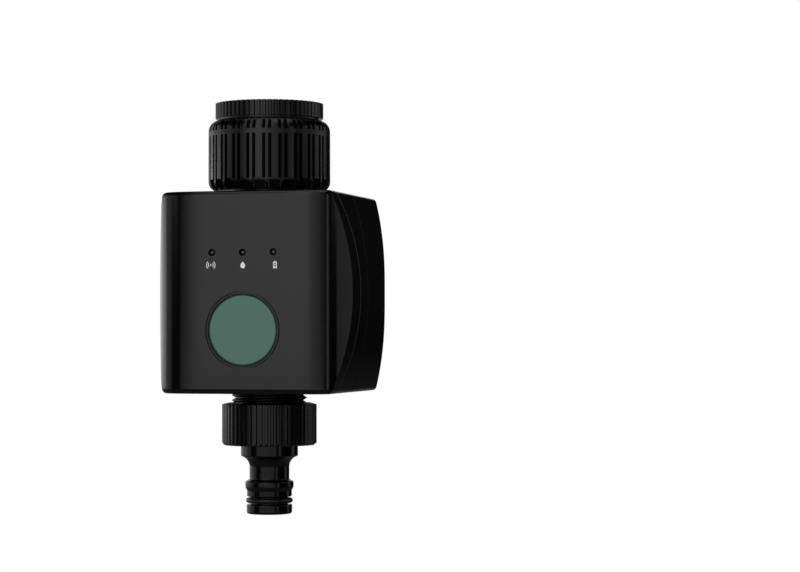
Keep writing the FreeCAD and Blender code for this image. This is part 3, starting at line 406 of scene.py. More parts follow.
def metal(name, colour, gloss, bump=0.000001):
    """A turned or drawn metal with fine lines of the height bump."""
    values = {"Colour": (*colour, 1.0), "Gloss": gloss}
    return finish_with(name, shared(turned_lines), values, bump, Metallic=1.0)


def colours():
    return bpy.context.scene.timer_colours


def housing_plastic():
    """Satin black, evenly grained."""
    return plastic("satin_housing_plastic", colours().housing, colours().housing_gloss, drift=0.02,
                   bump=0.0000006)


def rubbed_plastic(name, middle, bulge, tone):
    """The housing's black with a painted highlight along one seam, painted brighter toward the top."""
    if name in bpy.data.materials:
        return bpy.data.materials[name]
    material = housing_plastic().copy()
    material.name = name
    tree = material.node_tree
    shader = tree.nodes["Principled BSDF"]
    half = PANEL_SIZE.z / 2
    radius = (half ** 2 + bulge ** 2) / (2 * bulge)
    painted_band = tree.nodes.new("ShaderNodeGroup")
    painted_band.node_tree = shared(seam_highlight_paint)
    values = {"Centre y": middle - radius, "Centre z": PANEL_MIDDLE.z, "Radius": radius, "Height": half,
              "Reach": sizes().rub_reach, "Tone": tone}
    for label, value in values.items():
        painted_band.inputs[label].default_value = value
    # Adds the painted seam highlight to the grained black.
    link(tree, shader.inputs["Base Color"].links[0].from_socket, painted_band.inputs["Colour"])
    link(tree, painted_band.outputs["Colour"], shader.inputs["Base Color"])
    return material


def front_case_plastic():
    """The front case, with a strong painted highlight along the front seam."""
    return rubbed_plastic("front_case_plastic", FRONT_SEAM_Y, FRONT_SEAM_BULGE, 0.105)


def rear_case_plastic():
    """The rear case, with a faint painted highlight along the parting seam."""
    return rubbed_plastic("rear_case_plastic", PARTING_Y, PARTING_BULGE, 0.028)


def fitting_plastic():
    """The same black, a little rougher, on ring, nuts and spout."""
    return plastic("fitting_plastic", colours().fittings, colours().fitting_gloss, tint=0.2, drift=0.03,
                   bump=0.0000008)


def nipple_plastic():
    """Deep black with a tighter shine, on the nipple."""
    return plastic("nipple_plastic", colours().fittings, 0.17, tint=0.2, drift=0.03, bump=0.0000005,
                   Specular_IOR_Level=0.4)


def button_green():
    """Matte grey green with a very fine grain."""
    return plastic("button_green_plastic", colours().button, 0.5, tint=0.05, scale=7000.0)


def button_edge_green():
    """The same green darkened at the button's edge: painted shade of the rounded rim."""
    return plastic("button_rim_shade_plastic", (0.004, 0.055, 0.035), 0.5, tint=0.05, scale=7000.0)


def black_rubber():
    return plastic("seal_rubber", (0.007, 0.007, 0.007), 0.36, tint=0.25, drift=0.08, scale=2500.0)


def boot_silicone():
    return plastic("boot_silicone", (0.05, 0.05, 0.05), 0.6, tint=0.1)


def light_lens():
    """Grey translucent lens of a status light."""
    return plastic("status_light_lens", colours().lens, 0.25, tint=0.1, bump=0.000001)


def sleeve_black():
    """Matt black round each status light."""
    return plastic("light_sleeve_black", (0.0015, 0.0015, 0.0015), 0.7, tint=0.1, Specular_IOR_Level=0.2)


def print_white():
    """White ink of the three icons, with a painted glow that lifts the print brighter than the lamps make it.
    """
    # The emission is a painted glow on the print, which is no lamp.
    return plastic("icon_print_painted_glow", colours().icons, 0.5, tint=0.03, Emission_Color=WHITE,
                   Emission_Strength=0.3)


def zinc_steel():
    return metal("zinc_plated_steel", (0.55, 0.55, 0.57), 0.28)


def nickel_steel():
    return metal("nickel_plated_steel", (0.66, 0.64, 0.6), 0.22)


def polished_ball():
    return metal("polished_ball_chrome", (0.78, 0.78, 0.78), 0.06, bump=0.0000003)


def turned_brass():
    return metal("turned_brass", (0.72, 0.52, 0.22), 0.26)


def motor_steel():
    return metal("drawn_motor_steel", (0.58, 0.58, 0.6), 0.32)


def shield_tin():
    return metal("tinned_shield", (0.68, 0.68, 0.7), 0.3)


def seat_white():
    return plastic("seat_fluoropolymer", (0.8, 0.8, 0.78), 0.4, tint=0.04)


def gear_acetal():
    return plastic("gear_acetal", (0.76, 0.74, 0.68), 0.35, tint=0.04)


def plate_filled():
    """Glass filled nylon of the gear plate, with a fleck."""
    return plastic("plate_glass_filled", (0.07, 0.07, 0.07), 0.5, tint=0.5, scale=1800.0)


def switch_black():
    return plastic("switch_body_plastic", (0.03, 0.03, 0.03), 0.3)


def plunger_ivory():
    return plastic("plunger_plastic", (0.65, 0.64, 0.58), 0.35, tint=0.05)


def led_resin():
    return plastic("led_resin", (0.8, 0.76, 0.5), 0.2, tint=0.05)


def board_mask():
    """Green solder mask with a strong mottle."""
    return plastic("board_solder_mask", (0.012, 0.09, 0.04), 0.25, tint=0.7, scale=900.0, bump=0.00001)


def cell_sleeve():
    return plastic("cell_sleeve", (0.1, 0.1, 0.11), 0.2, tint=0.05, bump=0.0000005)


def strainer_plastic():
    return plastic("strainer_plastic", (0.42, 0.44, 0.42), 0.4, tint=0.08)


FINISHES = {
    "housing": housing_plastic, "fittings": fitting_plastic, "button": button_green, "boot": boot_silicone,
    "seal": black_rubber, "screw_steel": zinc_steel, "switch": switch_black, "plunger": plunger_ivory,
    "lens": light_lens, "led": led_resin, "board": board_mask, "shield": shield_tin, "ball": polished_ball,
    "seat": seat_white, "stem": turned_brass, "gear": gear_acetal, "brass": turned_brass,
    "gearhead": turned_brass, "motor": motor_steel, "plate": plate_filled, "cell": cell_sleeve,
    "contact": nickel_steel, "strainer": strainer_plastic,
}


class TimerSizes(bpy.types.PropertyGroup):
    """Sizes of the fine work that the finished pieces get."""
    shell_edge: FloatProperty(name="Shell edge", description="Rounding on the cover's sharp edges",
                              default=0.0002, min=0.0, unit="LENGTH")
    seam_edge: FloatProperty(name="Seam edge", description="Rounding on the front panel's edge at its seam",
                             default=0.0003, min=0.0, unit="LENGTH")
    # Reach of the painted seam highlight on the front and rear cases.
    rub_reach: FloatProperty(name="Highlight reach", description="How far the painted highlight band reaches from its middle",
                             default=0.0007, min=0.0, unit="LENGTH")
    seam_step: FloatProperty(name="Seam step", description="Step from one shell to the next at each seam",
                             default=0.00008, min=0.0, unit="LENGTH")
    corner_ease: FloatProperty(name="Corner ease", description="How far the front falls back at its corners",
                               default=0.0011, min=0.0, unit="LENGTH")
    hole_radius: FloatProperty(name="Hole radius", description="Radius of the button's hole in the front",
                               default=0.01245, min=0.0, unit="LENGTH")
    circle_radius: FloatProperty(name="Circle radius", description="Radius of the groove round the button",
                                 default=0.0133, min=0.0, unit="LENGTH")
    circle_width: FloatProperty(name="Circle width", description="Width of the groove round the button",
                                default=0.00034, min=0.0, unit="LENGTH")
    ring_radius: FloatProperty(name="Button ring radius", description="Outer radius of the button's ring",
                               default=0.01222, min=0.0, unit="LENGTH")
    green_radius: FloatProperty(name="Green radius", description="Radius of the green that shows",
                                default=0.01178, min=0.0, unit="LENGTH")
    sleeve_radius: FloatProperty(name="Sleeve radius", description="Radius of a status light's dark sleeve",
                                 default=0.00124, min=0.0, unit="LENGTH")
    lens_radius: FloatProperty(name="Lens radius", description="Radius of a status light's lens",
                               default=0.00056, min=0.0, unit="LENGTH")
    nut_edge: FloatProperty(name="Nut edge", description="Rounding on the ribs of the upper nut",
                            default=0.0002, min=0.0, unit="LENGTH")
    knurl_edge: FloatProperty(name="Knurl edge", description="Rounding on fine ribs and small parts",
                              default=0.0001, min=0.0, unit="LENGTH")
    nipple_edge: FloatProperty(name="Nipple edge", description="Rounding on the nipple's flanges",
                               default=0.0003, min=0.0, unit="LENGTH")
    thread_pitch: FloatProperty(name="Thread pitch", description="Pitch of the tap and outlet threads",
                                default=0.001814, min=0.0005, unit="LENGTH")
    thread_depth: FloatProperty(name="Thread depth", description="Height of the thread's crest over its root",
                                default=0.00116, min=0.0, unit="LENGTH")
    icon_height: FloatProperty(name="Icon height", description="Height of the printed icons",
                               default=0.0024, min=0.0, unit="LENGTH")
    icon_drop: FloatProperty(name="Icon drop", description="Distance from the lights down to the icons",
                             default=0.0043, min=0.0, unit="LENGTH")
    icon_stroke: FloatProperty(name="Icon stroke", description="Width of the icons' lines",
                               default=0.00026, min=0.0, unit="LENGTH")
    ink: FloatProperty(name="Ink", description="Thickness of the print",
                       default=0.00003, min=0.0, unit="LENGTH")
    light_pitch: FloatProperty(name="Light pitch", description="Distance between the status lights",
                               default=0.011, min=0.0, unit="LENGTH")
    icon_pitch: FloatProperty(name="Icon pitch", description="Distance between the icons",
                              default=0.01145, min=0.0, unit="LENGTH")


class TimerColours(bpy.types.PropertyGroup):
    """Colours and gloss of the parts that show."""
    housing: FloatVectorProperty(name="Housing", description="Colour of the housing", subtype="COLOR",
                                 size=3, default=(0.002, 0.002, 0.0021), min=0.0, max=1.0)
    housing_gloss: FloatProperty(name="Housing roughness", description="Roughness of the housing",
                                 default=0.17, min=0.0, max=1.0)
    fittings: FloatVectorProperty(name="Fittings", description="Colour of ring, nuts, spout and nipple",
                                  subtype="COLOR", size=3, default=(0.002, 0.002, 0.0021), min=0.0, max=1.0)
    fitting_gloss: FloatProperty(name="Fittings roughness", description="Roughness of ring, nuts and spout",
                                 default=0.26, min=0.0, max=1.0)
    button: FloatVectorProperty(name="Button", description="Colour of the button", subtype="COLOR",
                                size=3, default=(0.172, 0.383, 0.3), min=0.0, max=1.0)
    lens: FloatVectorProperty(name="Lens", description="Colour of the status lights", subtype="COLOR",
                              size=3, default=(0.12, 0.12, 0.12), min=0.0, max=1.0)
    icons: FloatVectorProperty(name="Icons", description="Colour of the printed icons", subtype="COLOR",
                               size=3, default=(0.9, 0.9, 0.9), min=0.0, max=1.0)


class TimerStage(bpy.types.PropertyGroup):
    """Camera, floor and lights."""
    distance: FloatProperty(name="Camera distance", description="From the camera to the water path",
                            default=0.825, min=0.1, unit="LENGTH")
    azimuth: FloatProperty(name="Camera azimuth", description="How far to the right the camera stands",
                           default=math.radians(17.5), subtype="ANGLE")
    eye_z: FloatProperty(name="Eye level", description="Height of the camera", default=-0.0808, unit="LENGTH")
    lens: FloatProperty(name="Lens", description="Focal length on a 36 mm sensor", default=105.1, min=1.0)
    turn: FloatProperty(name="Camera turn", description="Turn to the right of the water path",
                        default=math.radians(3.2), subtype="ANGLE")
    tilt: FloatProperty(name="Camera tilt", description="Upward tilt", default=math.radians(1.15),
                        subtype="ANGLE")
    roll: FloatProperty(name="Camera roll", description="Turn about the line of sight",
                        default=math.radians(-0.063), subtype="ANGLE")
    floor_z: FloatProperty(name="Floor", description="Height of the floor", default=-0.3, unit="LENGTH")


def sizes():
    return bpy.context.scene.timer_sizes


def facing_disc(name, x, front_y, z, radius, depth, vertices=48):
    """A disc with its front cap at front_y, its axis along the view into the panel."""
    bpy.ops.mesh.primitive_cylinder_add(vertices=vertices, radius=radius, depth=depth,
                                        location=(x, front_y + depth / 2, z),
                                        rotation=(QUARTER_TURN, 0.0, 0.0))
    return settle(bpy.context.active_object, name)


def facing_ring(name, front_y, outer, inner, depth):
    """A flat ring round the button's axis with its front at front_y."""
    x, z = BUTTON_MIDDLE.x, BUTTON_MIDDLE.z
    ring = facing_disc(name, x, front_y, z, outer, depth, ROUND_STEPS)
    core = facing_disc(name + "_core", x, front_y - MM, z, inner, 4 * MM, ROUND_STEPS)
    cut_away(ring, core)
    return ring


def select_cap(piece, front_y):
    """Opens piece in edit mode with only its front cap selected."""
    pick(piece)
    bpy.ops.object.mode_set(mode="EDIT")
    bpy.ops.mesh.select_mode(type="FACE")
    bpy.ops.mesh.select_all(action="DESELECT")
    bpy.ops.object.mode_set(mode="OBJECT")
    for face in piece.data.polygons:
        face.select = abs(face.center.y - front_y) < 0.01 * MM and abs(face.normal.y) > 0.99
    bpy.ops.object.mode_set(mode="EDIT")


class TIMER_OT_housing(bpy.types.Operator):
    """Front panel with eased corners, front case and rear case"""
    bl_idname = "timer.housing"
    bl_label = "Housing shells"

    def execute(self, context):
        step = sizes().seam_step
        sunk = 1.0 + sizes().ink / FACE_Y
        for node, inset, edge, finish in (("front_panel", 2 * step, sizes().seam_edge, housing_plastic),
                                          ("front_case", step, step, front_case_plastic),
                                          ("rear_case", 0.0, step, rear_case_plastic)):
            shell = merged_copy(node, node + "_shell")
            if node == "front_panel":
                self.ease_corners(shell)
                self.frame_button(shell)
            edit_all(shell)
            flatten = sunk if node == "front_panel" else 1.0
            bpy.ops.transform.resize(value=(1.0 - inset / PANEL_HIGH.x, flatten, 1.0), center_override=ORIGIN)
            close_edit()
            soften(shell, edge, segments=3, angle=15.0)
            seat(shell, "housing", "housing", node)
            # The front and rear cases get the painted seam highlight.
            paint(shell, finish())
        return {"FINISHED"}

    def ease_corners(self, shell):
        """Lets the flat front run softly into its rounded corners, with a lattice over the front."""
        cuts, first_cut, cut_pitch = 8, 13.0, 1.2
        for step in range(cuts):
            for side in (-1.0, 1.0):
                x = side * (first_cut + cut_pitch * step) * MM
                edit_all(shell)
                bpy.ops.mesh.bisect(plane_co=(x, 0.0, 0.0), plane_no=(1.0, 0.0, 0.0))
                close_edit()
        rear_y, cage_width, flat_share = -25.0 * MM, 65.0 * MM, 0.35
        bpy.ops.object.select_all(action="DESELECT")
        bpy.ops.object.add(type="LATTICE", location=(PANEL_MIDDLE.x, (FACE_Y + rear_y) / 2, PANEL_MIDDLE.z))
        cage = bpy.context.active_object
        cage.scale = (cage_width, rear_y - FACE_Y, PANEL_SIZE.z * 1.02)
        cage.data.points_u = 11
        cage.data.points_v = 2
        cage.data.points_w = 2
        cage.data.interpolation_type_u = "KEY_BSPLINE"
        cage.data.interpolation_type_v = "KEY_LINEAR"
        cage.data.interpolation_type_w = "KEY_LINEAR"
        push = sizes().corner_ease / (rear_y - FACE_Y)
        for point in cage.data.points:
            if point.co.y < 0.0 and abs(point.co.x) > flat_share:
                point.co_deform.y += push
        modify(shell, "LATTICE", object=cage)
        bpy.data.objects.remove(cage)

    def frame_button(self, shell):
        """Carries the flat front right up to the button and cuts the fine dark circle round it."""
        collar_radius, groove_depth = 13.6 * MM, 1.2 * MM
        collar = facing_ring("hole_collar", FACE_Y, collar_radius, sizes().hole_radius, MM)
        modify(shell, "BOOLEAN", operation="UNION", object=collar, solver="EXACT")
        bpy.data.objects.remove(collar)
        outer = sizes().circle_radius
        inner = outer - sizes().circle_width
        cut_away(shell, facing_ring("circle_groove", FACE_Y - MM, outer, inner, MM + groove_depth))


class TIMER_OT_back(bpy.types.Operator):
    """Battery cover and its screws"""
    bl_idname = "timer.back"
    bl_label = "Battery cover"

    def execute(self, context):
        dress("battery_cover", "cover_plate", sizes().shell_edge, "battery_door", "housing")
        dress("cover_screws", "cover_screw_set", sizes().knurl_edge, "battery_door", "screw_steel")
        return {"FINISHED"}


class TIMER_OT_nuts(bpy.types.Operator):
    """Ribbed upper nut with hollow grooves and undercut foot, and knurled lower nut"""
    bl_idname = "timer.nuts"
    bl_label = "Nuts"

    def execute(self, context):
        upper = merged_copy("inlet_nut", "upper_nut")
        over_belt = (NUT_HIGH.z - 4.5 * MM, NUT_HIGH.z - 1.2 * MM)
        under_belt = (NUT_LOW.z + 3.8 * MM, NUT_HIGH.z - 6.1 * MM)
        for low, high in (over_belt, under_belt):
            cut_away(upper, self.groove_cutters(low, high))
        cut_away(upper, self.foot_cutters())
        soften(upper, sizes().nut_edge)
        seat(upper, "swivel_nut", "fittings", "inlet_nut")
        dress("outlet_nut", "lower_nut_ribbed", sizes().knurl_edge, "lower_nut", "fittings")
        return {"FINISHED"}

    def groove_cutters(self, low, high):
        """Flat rods that hollow out the grooves beside each rib."""
        half_width, sunk = 0.52 * MM, 1.6 * MM
        bpy.ops.mesh.primitive_cylinder_add(vertices=20, radius=half_width, depth=high - low)
        rods = bpy.context.active_object
        edit_all(rods)
        bpy.ops.transform.resize(value=(2.0, 1.0, 1.0))
        bpy.ops.transform.translate(value=(NUT_HIGH.x - sunk, 0.0, (low + high) / 2))
        bpy.ops.mesh.spin(steps=1, angle=GROOVE_SPREAD, dupli=True, center=ORIGIN, axis=UPRIGHT)
        bpy.ops.mesh.select_all(action="SELECT")
        repeat_round(NUT_RIBS)
        close_edit()
        rods.rotation_euler = (0.0, 0.0, GROOVE_SPREAD / 2)
        return settle(rods, "groove_rods")

    def foot_cutters(self):
        """Leaning blocks that undercut the foot between the ribs."""
        size = Vector((4.0, 3.8, 6.0)) * MM
        lean, sunk, foot_height = math.radians(-25.0), 1.35 * MM, 3.2 * MM
        bpy.ops.mesh.primitive_cube_add(size=1)
        blocks = bpy.context.active_object
        edit_all(blocks)
        bpy.ops.transform.resize(value=size)
        bpy.ops.transform.translate(value=(size.x / 2, 0.0, -size.z / 2))
        bpy.ops.transform.rotate(value=lean, orient_axis="Y", center_override=ORIGIN)
        bpy.ops.transform.translate(value=(NUT_HIGH.x - sunk, 0.0, NUT_LOW.z + foot_height))
        repeat_round(NUT_RIBS)
        close_edit()
        blocks.rotation_euler = (0.0, 0.0, FULL_TURN / NUT_RIBS / 2)
        return settle(blocks, "foot_blocks")


def thread_rod(name, top_z, low_z, crest_r):
    """A closed threaded rod round the water path: one pitch of outline screwed up, then cut to length."""
    pitch = sizes().thread_pitch
    depth = sizes().thread_depth
    flat = pitch / 8
    root_r = crest_r - depth
    turns = math.ceil((top_z - low_z) / pitch) + 2
    bpy.ops.mesh.primitive_plane_add(size=1)
    rod = bpy.context.active_object
    edit_all(rod)
    bpy.ops.mesh.merge(type="CENTER")
    bpy.ops.transform.translate(value=(root_r, 0.0, low_z - pitch))
    slope = (pitch - 2 * flat) / 2
    for out, up in ((0.0, flat), (depth, slope), (0.0, flat), (-depth, slope)):
        bpy.ops.mesh.extrude_region_move(TRANSFORM_OT_translate={"value": (out, 0.0, up)})
    close_edit()
    modify(rod, "SCREW", angle=FULL_TURN, screw_offset=pitch, iterations=turns, steps=72,
           render_steps=72, use_merge_vertices=True, merge_threshold=MERGE_DISTANCE, axis="Z")
    tidy_normals(rod)
    for height, side in ((top_z, 1.0), (low_z, -1.0)):
        cut_off(rod, (0.0, 0.0, height), (0.0, 0.0, side))
    tidy_normals(rod)
    return settle(rod, name)


class TIMER_OT_adapter(bpy.types.Operator):
    """Knurled ring with the tap thread inside its mouth"""
    bl_idname = "timer.adapter"
    bl_label = "Tap adapter"

    def execute(self, context):
        ring = merged_copy("thread_adapter", "knurled_ring")
        mouth_r = 12.06 * MM
        groove_r = mouth_r + sizes().thread_depth
        cut_away(ring, thread_rod("mouth_thread", RING_TOP_Z + MM, WASHER_TOP_Z + MM, groove_r))
        soften(ring, sizes().knurl_edge)
        seat(ring, "tap_adapter", "fittings", "thread_adapter")
        return {"FINISHED"}


class TIMER_OT_outlet(bpy.types.Operator):
    """Threaded outlet spout, hose nipple and its seal"""
    bl_idname = "timer.outlet"
    bl_label = "Outlet"

    def execute(self, context):
        spout = merged_copy("valve_tail", "threaded_spout")
        join_z = PANEL_LOW.z + MM
        cut_off(spout, (0.0, 0.0, join_z), (0.0, 0.0, -1.0))
        thread = thread_rod("outlet_thread", join_z, TAIL_LOW.z, TAIL_HIGH.x)
        bore_r, bore_length = 5.2 * MM, 100.0 * MM
        bpy.ops.mesh.primitive_cylinder_add(vertices=96, radius=bore_r, depth=bore_length,
                                            location=(0.0, 0.0, join_z))
        cut_away(thread, bpy.context.active_object)
        join([spout, thread])
        soften(spout, sizes().knurl_edge)
        seat(spout, "housing", "fittings", "valve_tail")
        nipple = dress("hose_nipple", "turned_nipple", sizes().nipple_edge, "nipple", "fittings", segments=3)
        paint(nipple, nipple_plastic())
        dress("nipple_seal", "nipple_round_seal", sizes().knurl_edge, "nipple", "seal")
        return {"FINISHED"}


class TIMER_OT_button(bpy.types.Operator):
    """Round green button and the ring round its face, darkened by painted shade"""
    bl_idname = "timer.button"
    bl_label = "Button"

    def execute(self, context):
        cap = merged_copy("button_cap", "round_button")
        share, proud, ring_depth = 0.975, 0.06 * MM, 0.9 * MM
        edit_all(cap)
        bpy.ops.transform.resize(value=(share, 1.0, share), center_override=BUTTON_MIDDLE)
        close_edit()
        soften(cap, sizes().knurl_edge)
        seat(cap, "button", "button", "button_cap")
        front_y = BUTTON_LOW.y - proud
        ring = facing_ring("button_ring", front_y, sizes().ring_radius, sizes().green_radius, ring_depth)
        soften(ring, sizes().knurl_edge, segments=3)
        seat(ring, "button", "button")
        # Painted shade: a darker copy of the button green on the ring.
        paint(ring, button_edge_green())
        return {"FINISHED"}


class TIMER_OT_lights(bpy.types.Operator):
    """Small lenses of the three status lights in their dark holders"""
    bl_idname = "timer.lights"
    bl_label = "Status lights"

    def execute(self, context):
        lenses = merged_copy("light_pipes", "light_lenses")
        lens_depth = 1.7 * MM
        cut_off(lenses, (0.0, FACE_Y + lens_depth, 0.0), (0.0, -1.0, 0.0))
        sleeves = []
        tips = []
        for side in (-1.0, 0.0, 1.0):
            x = side * sizes().light_pitch
            sleeves.append(self.sleeve(x))
            tips.append(self.tip(x))
        join([lenses, *tips])
        soften(lenses, sizes().ink)
        seat(lenses, "housing", "lens", "light_pipes")
        rings = settle(join(sleeves), "light_sleeves")
        soften(rings, sizes().ink)
        seat(rings, "housing", "boot")
        paint(rings, sleeve_black())
        return {"FINISHED"}

    def sleeve(self, x):
        """A matt black cup in the hole, open to the front."""
        front_y, wall, depth, bore_depth = FACE_Y + 0.12 * MM, 0.14 * MM, 1.5 * MM, 1.2 * MM
        radius = sizes().sleeve_radius
        cup = facing_disc("light_sleeve", x, front_y, LIGHT_Z, radius, depth)
        cut_away(cup, facing_disc("sleeve_bore", x, front_y - MM, LIGHT_Z, radius - wall, MM + bore_depth))
        return cup

    def tip(self, x):
        """The lens's narrow domed end, which reaches into the lens behind it."""
        front_y, length, radius = FACE_Y + 0.4 * MM, 2.0 * MM, sizes().lens_radius
        tip = facing_disc("lens_tip", x, front_y, LIGHT_Z, radius, length, 32)
        select_cap(tip, front_y)
        for share, rise in ((0.4, 0.12 * MM), (0.35, 0.03 * MM)):
            bpy.ops.mesh.inset(thickness=radius * share, depth=rise)
        close_edit()
        return tip


def icon_centre(index):
    """Middle of an icon on the front face, in the print's thickness."""
    shift = 0.17 * MM
    return Vector((index * sizes().icon_pitch + shift, FACE_Y + sizes().ink / 2, LIGHT_Z - sizes().icon_drop))


def ink_bar(centre, width, height):
    """A straight printed bar, its corners cut."""
    bpy.ops.mesh.primitive_cube_add(size=1, location=centre, scale=(width, sizes().ink, height))
    bar = settle(bpy.context.active_object, "ink_bar")
    modify(bar, "BEVEL", width=min(width, height) / 5, segments=2, limit_method="NONE")
    return bar


def ink_arc(centre, radius, middle, sweep):
    """A printed arc: a small section spun about the icon's middle."""
    bpy.ops.mesh.primitive_plane_add(size=1, location=ORIGIN)
    arc = bpy.context.active_object
    edit_all(arc)
    bpy.ops.transform.resize(value=(sizes().icon_stroke, sizes().ink, 1.0))
    bpy.ops.transform.translate(value=(radius, 0.0, 0.0))
    bpy.ops.mesh.spin(steps=14, angle=sweep, center=ORIGIN, axis=(0.0, 1.0, 0.0))
    close_edit()
    corners = [vertex.co for vertex in arc.data.vertices]
    turned = math.atan2(sum(co.z for co in corners), sum(co.x for co in corners))
    arc.rotation_euler = (0.0, turned - middle, 0.0)
    arc.location = centre
    settle(arc, "ink_arc")
    tidy_normals(arc)
    return arc


def ink_disc(centre, radius):
    """A printed dot."""
    return facing_disc("ink_disc", centre.x, centre.y - sizes().ink / 2, centre.z, radius, sizes().ink, 32)


def ink_drop(centre, width, height):
    """A water drop from a curve circle whose top point is drawn up sharp."""
    bpy.ops.curve.primitive_bezier_circle_add(radius=width / 2, location=ORIGIN)
    drop = bpy.context.active_object
    drop.data.dimensions = "2D"
    drop.data.fill_mode = "BOTH"
    drop.data.extrude = sizes().ink / 2
    drop.data.resolution_u = 12
    points = drop.data.splines[0].bezier_points
    top = max(points, key=lambda point: point.co.y)
    top.handle_left_type = top.handle_right_type = "FREE"
    top.co.y = height - width / 2
    for handle, side in ((top.handle_left, -1.0), (top.handle_right, 1.0)):
        handle.x = side * width * 0.06
        handle.y = top.co.y - height * 0.12
    for point in points:
        if abs(point.co.x) > width / 4:
            point.handle_left_type = point.handle_right_type = "ALIGNED"
    bpy.ops.object.convert(target="MESH")
    drop = bpy.context.active_object
    drop.rotation_euler = (QUARTER_TURN, 0.0, 0.0)
    drop.location = centre - Vector((0.0, 0.0, (height - width) / 2))
    settle(drop, "ink_drop")
    tidy_normals(drop)
    return drop


def print_icon(name, pieces):
    """Joins the printed pieces into one icon on the housing."""
    icon = settle(join(pieces), name)
    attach(icon, "housing")
    # The ink carries a painted glow.
    paint(icon, print_white())


class TIMER_OT_icons(bpy.types.Operator):
    """Printed signal, water drop and battery icons under the lights"""
    bl_idname = "timer.icons"
    bl_label = "Icons"

    def execute(self, context):
        height = sizes().icon_height
        stroke = sizes().icon_stroke
        middle = icon_centre(-1)
        signal = [ink_disc(middle, stroke * 0.9)]
        for radius in (height * 0.36, height * 0.64):
            for direction in (0.0, math.pi):
                signal.append(ink_arc(middle, radius, direction, math.radians(96)))
        print_icon("icon_signal", signal)
        print_icon("icon_drop", [ink_drop(icon_centre(0), height * 0.68, height)])
        middle = icon_centre(1)
        width = height * 0.54
        low = -height * 0.5
        top = height * 0.38
        side = (width - stroke) / 2
        rows = [(0.0, height * 0.44, width * 0.45, stroke * 0.9)]
        rows += [(x, (top + low) / 2, stroke, top - low) for x in (-side, side)]
        rows += [(0.0, z, width, stroke) for z in (low + stroke / 2, top - stroke / 2)]
        for share in (0.3, 0.62):
            rows.append((0.0, low + share * (top - low), width - 3 * stroke, stroke * 1.3))
        bars = [ink_bar(middle + Vector((x, 0.0, z)), wide, tall) for x, z, wide, tall in rows]
        print_icon("icon_battery", bars)
        return {"FINISHED"}


class TIMER_OT_inside(bpy.types.Operator):
    """Finishes of every CAD piece that stays as it is"""
    bl_idname = "timer.inside"
    bl_label = "Inner pieces"

    def execute(self, context):
        for entry in frame["record"]["subparts"]:
            node = frame["nodes"][entry["node"]]
            if not node.hide_render:
                paint(node, FINISHES[entry["material_slot"]]())
        return {"FINISHED"}


# Soft boxes that stand round the timer: azimuth from and to in degrees, height from and to, radiance
PANELS = {
    "front_core": (-22.0, 4.0, -0.135, 1.3, 1.0),
    "front_left_a": (-27.0, -22.0, -0.135, 1.3, 0.72),
    "front_left_b": (-31.5, -27.0, -0.135, 1.3, 0.5),
    "front_left_c": (-36.0, -31.5, -0.135, 1.3, 0.22),
    "front_right_a": (4.0, 13.0, -0.135, 1.3, 0.84),
    "front_right_b": (13.0, 24.0, -0.135, 1.3, 0.6),
    "front_right_c": (24.0, 36.0, -0.135, 1.3, 0.42),
    "front_right_d": (36.0, 50.0, -0.135, 1.3, 0.2),
    "front_low": (-36.0, 45.0, -0.32, -0.135, 0.45),
    "right_strip": (57.5, 63.0, -0.25, 0.25, 1.0),
    "right_back": (118.0, 136.0, -0.25, 0.035, 0.38),
    "right_high": (78.0, 150.0, 0.035, 0.5, 0.4),
    "left_dim": (-84.0, -64.0, -0.25, 0.035, 0.4),
    "left_core": (-138.0, -84.0, -0.135, 0.035, 1.8),
    "left_high": (-135.0, -45.0, 0.035, 0.45, 0.5),
    "left_low": (-138.0, -84.0, -0.3, -0.135, 0.6),
    "left_back": (-178.0, -138.0, -0.3, 0.4, 0.6),
}
PANEL_DISTANCE = 1.0
TOP_BOX_PLACE = Vector((0.1, -0.25, 1.2))
TOP_BOX_AIM = Vector((0.0, 0.0, -0.07))
TOP_BOX_SIDE = 1.2
TOP_BOX_RADIANCE = 0.8


def area_light(name, place, aim, width, tall, radiance):
    """A soft box of a given radiance that looks from one place at another."""
    bpy.ops.object.light_add(type="AREA", location=place)
    light = bpy.context.active_object
    light.name = name
    light.data.shape = "RECTANGLE"
    light.data.size = width
    light.data.size_y = tall
    light.data.energy = radiance * math.pi * width * tall
    light.visible_camera = False
    light.rotation_euler = (aim - place).to_track_quat("-Z", "Y").to_euler()


def soft_panel(name, start, stop, low, high, radiance):
    """An upright soft box that fills a range of azimuths and heights as seen from the timer."""
    a = math.radians((start + stop) / 2)
    width = 2 * PANEL_DISTANCE * math.tan(math.radians(stop - start) / 2)
    height = (low + high) / 2
    place = Vector((math.sin(a) * PANEL_DISTANCE, -math.cos(a) * PANEL_DISTANCE, height))
    area_light(name, place, Vector((0.0, 0.0, height)), width, high - low, radiance)


def switch_for_camera(tree, lit, seen):
    """A mix of two shaders: what the camera sees of it, and what lights and reflects in the timer."""
    path = tree.nodes.new("ShaderNodeLightPath")
    mix = tree.nodes.new("ShaderNodeMixShader")
    link(tree, path.outputs["Is Camera Ray"], mix.inputs[0])
    link(tree, lit.outputs[0], mix.inputs[1])
    link(tree, seen.outputs[0], mix.inputs[2])
    return mix.outputs[0]


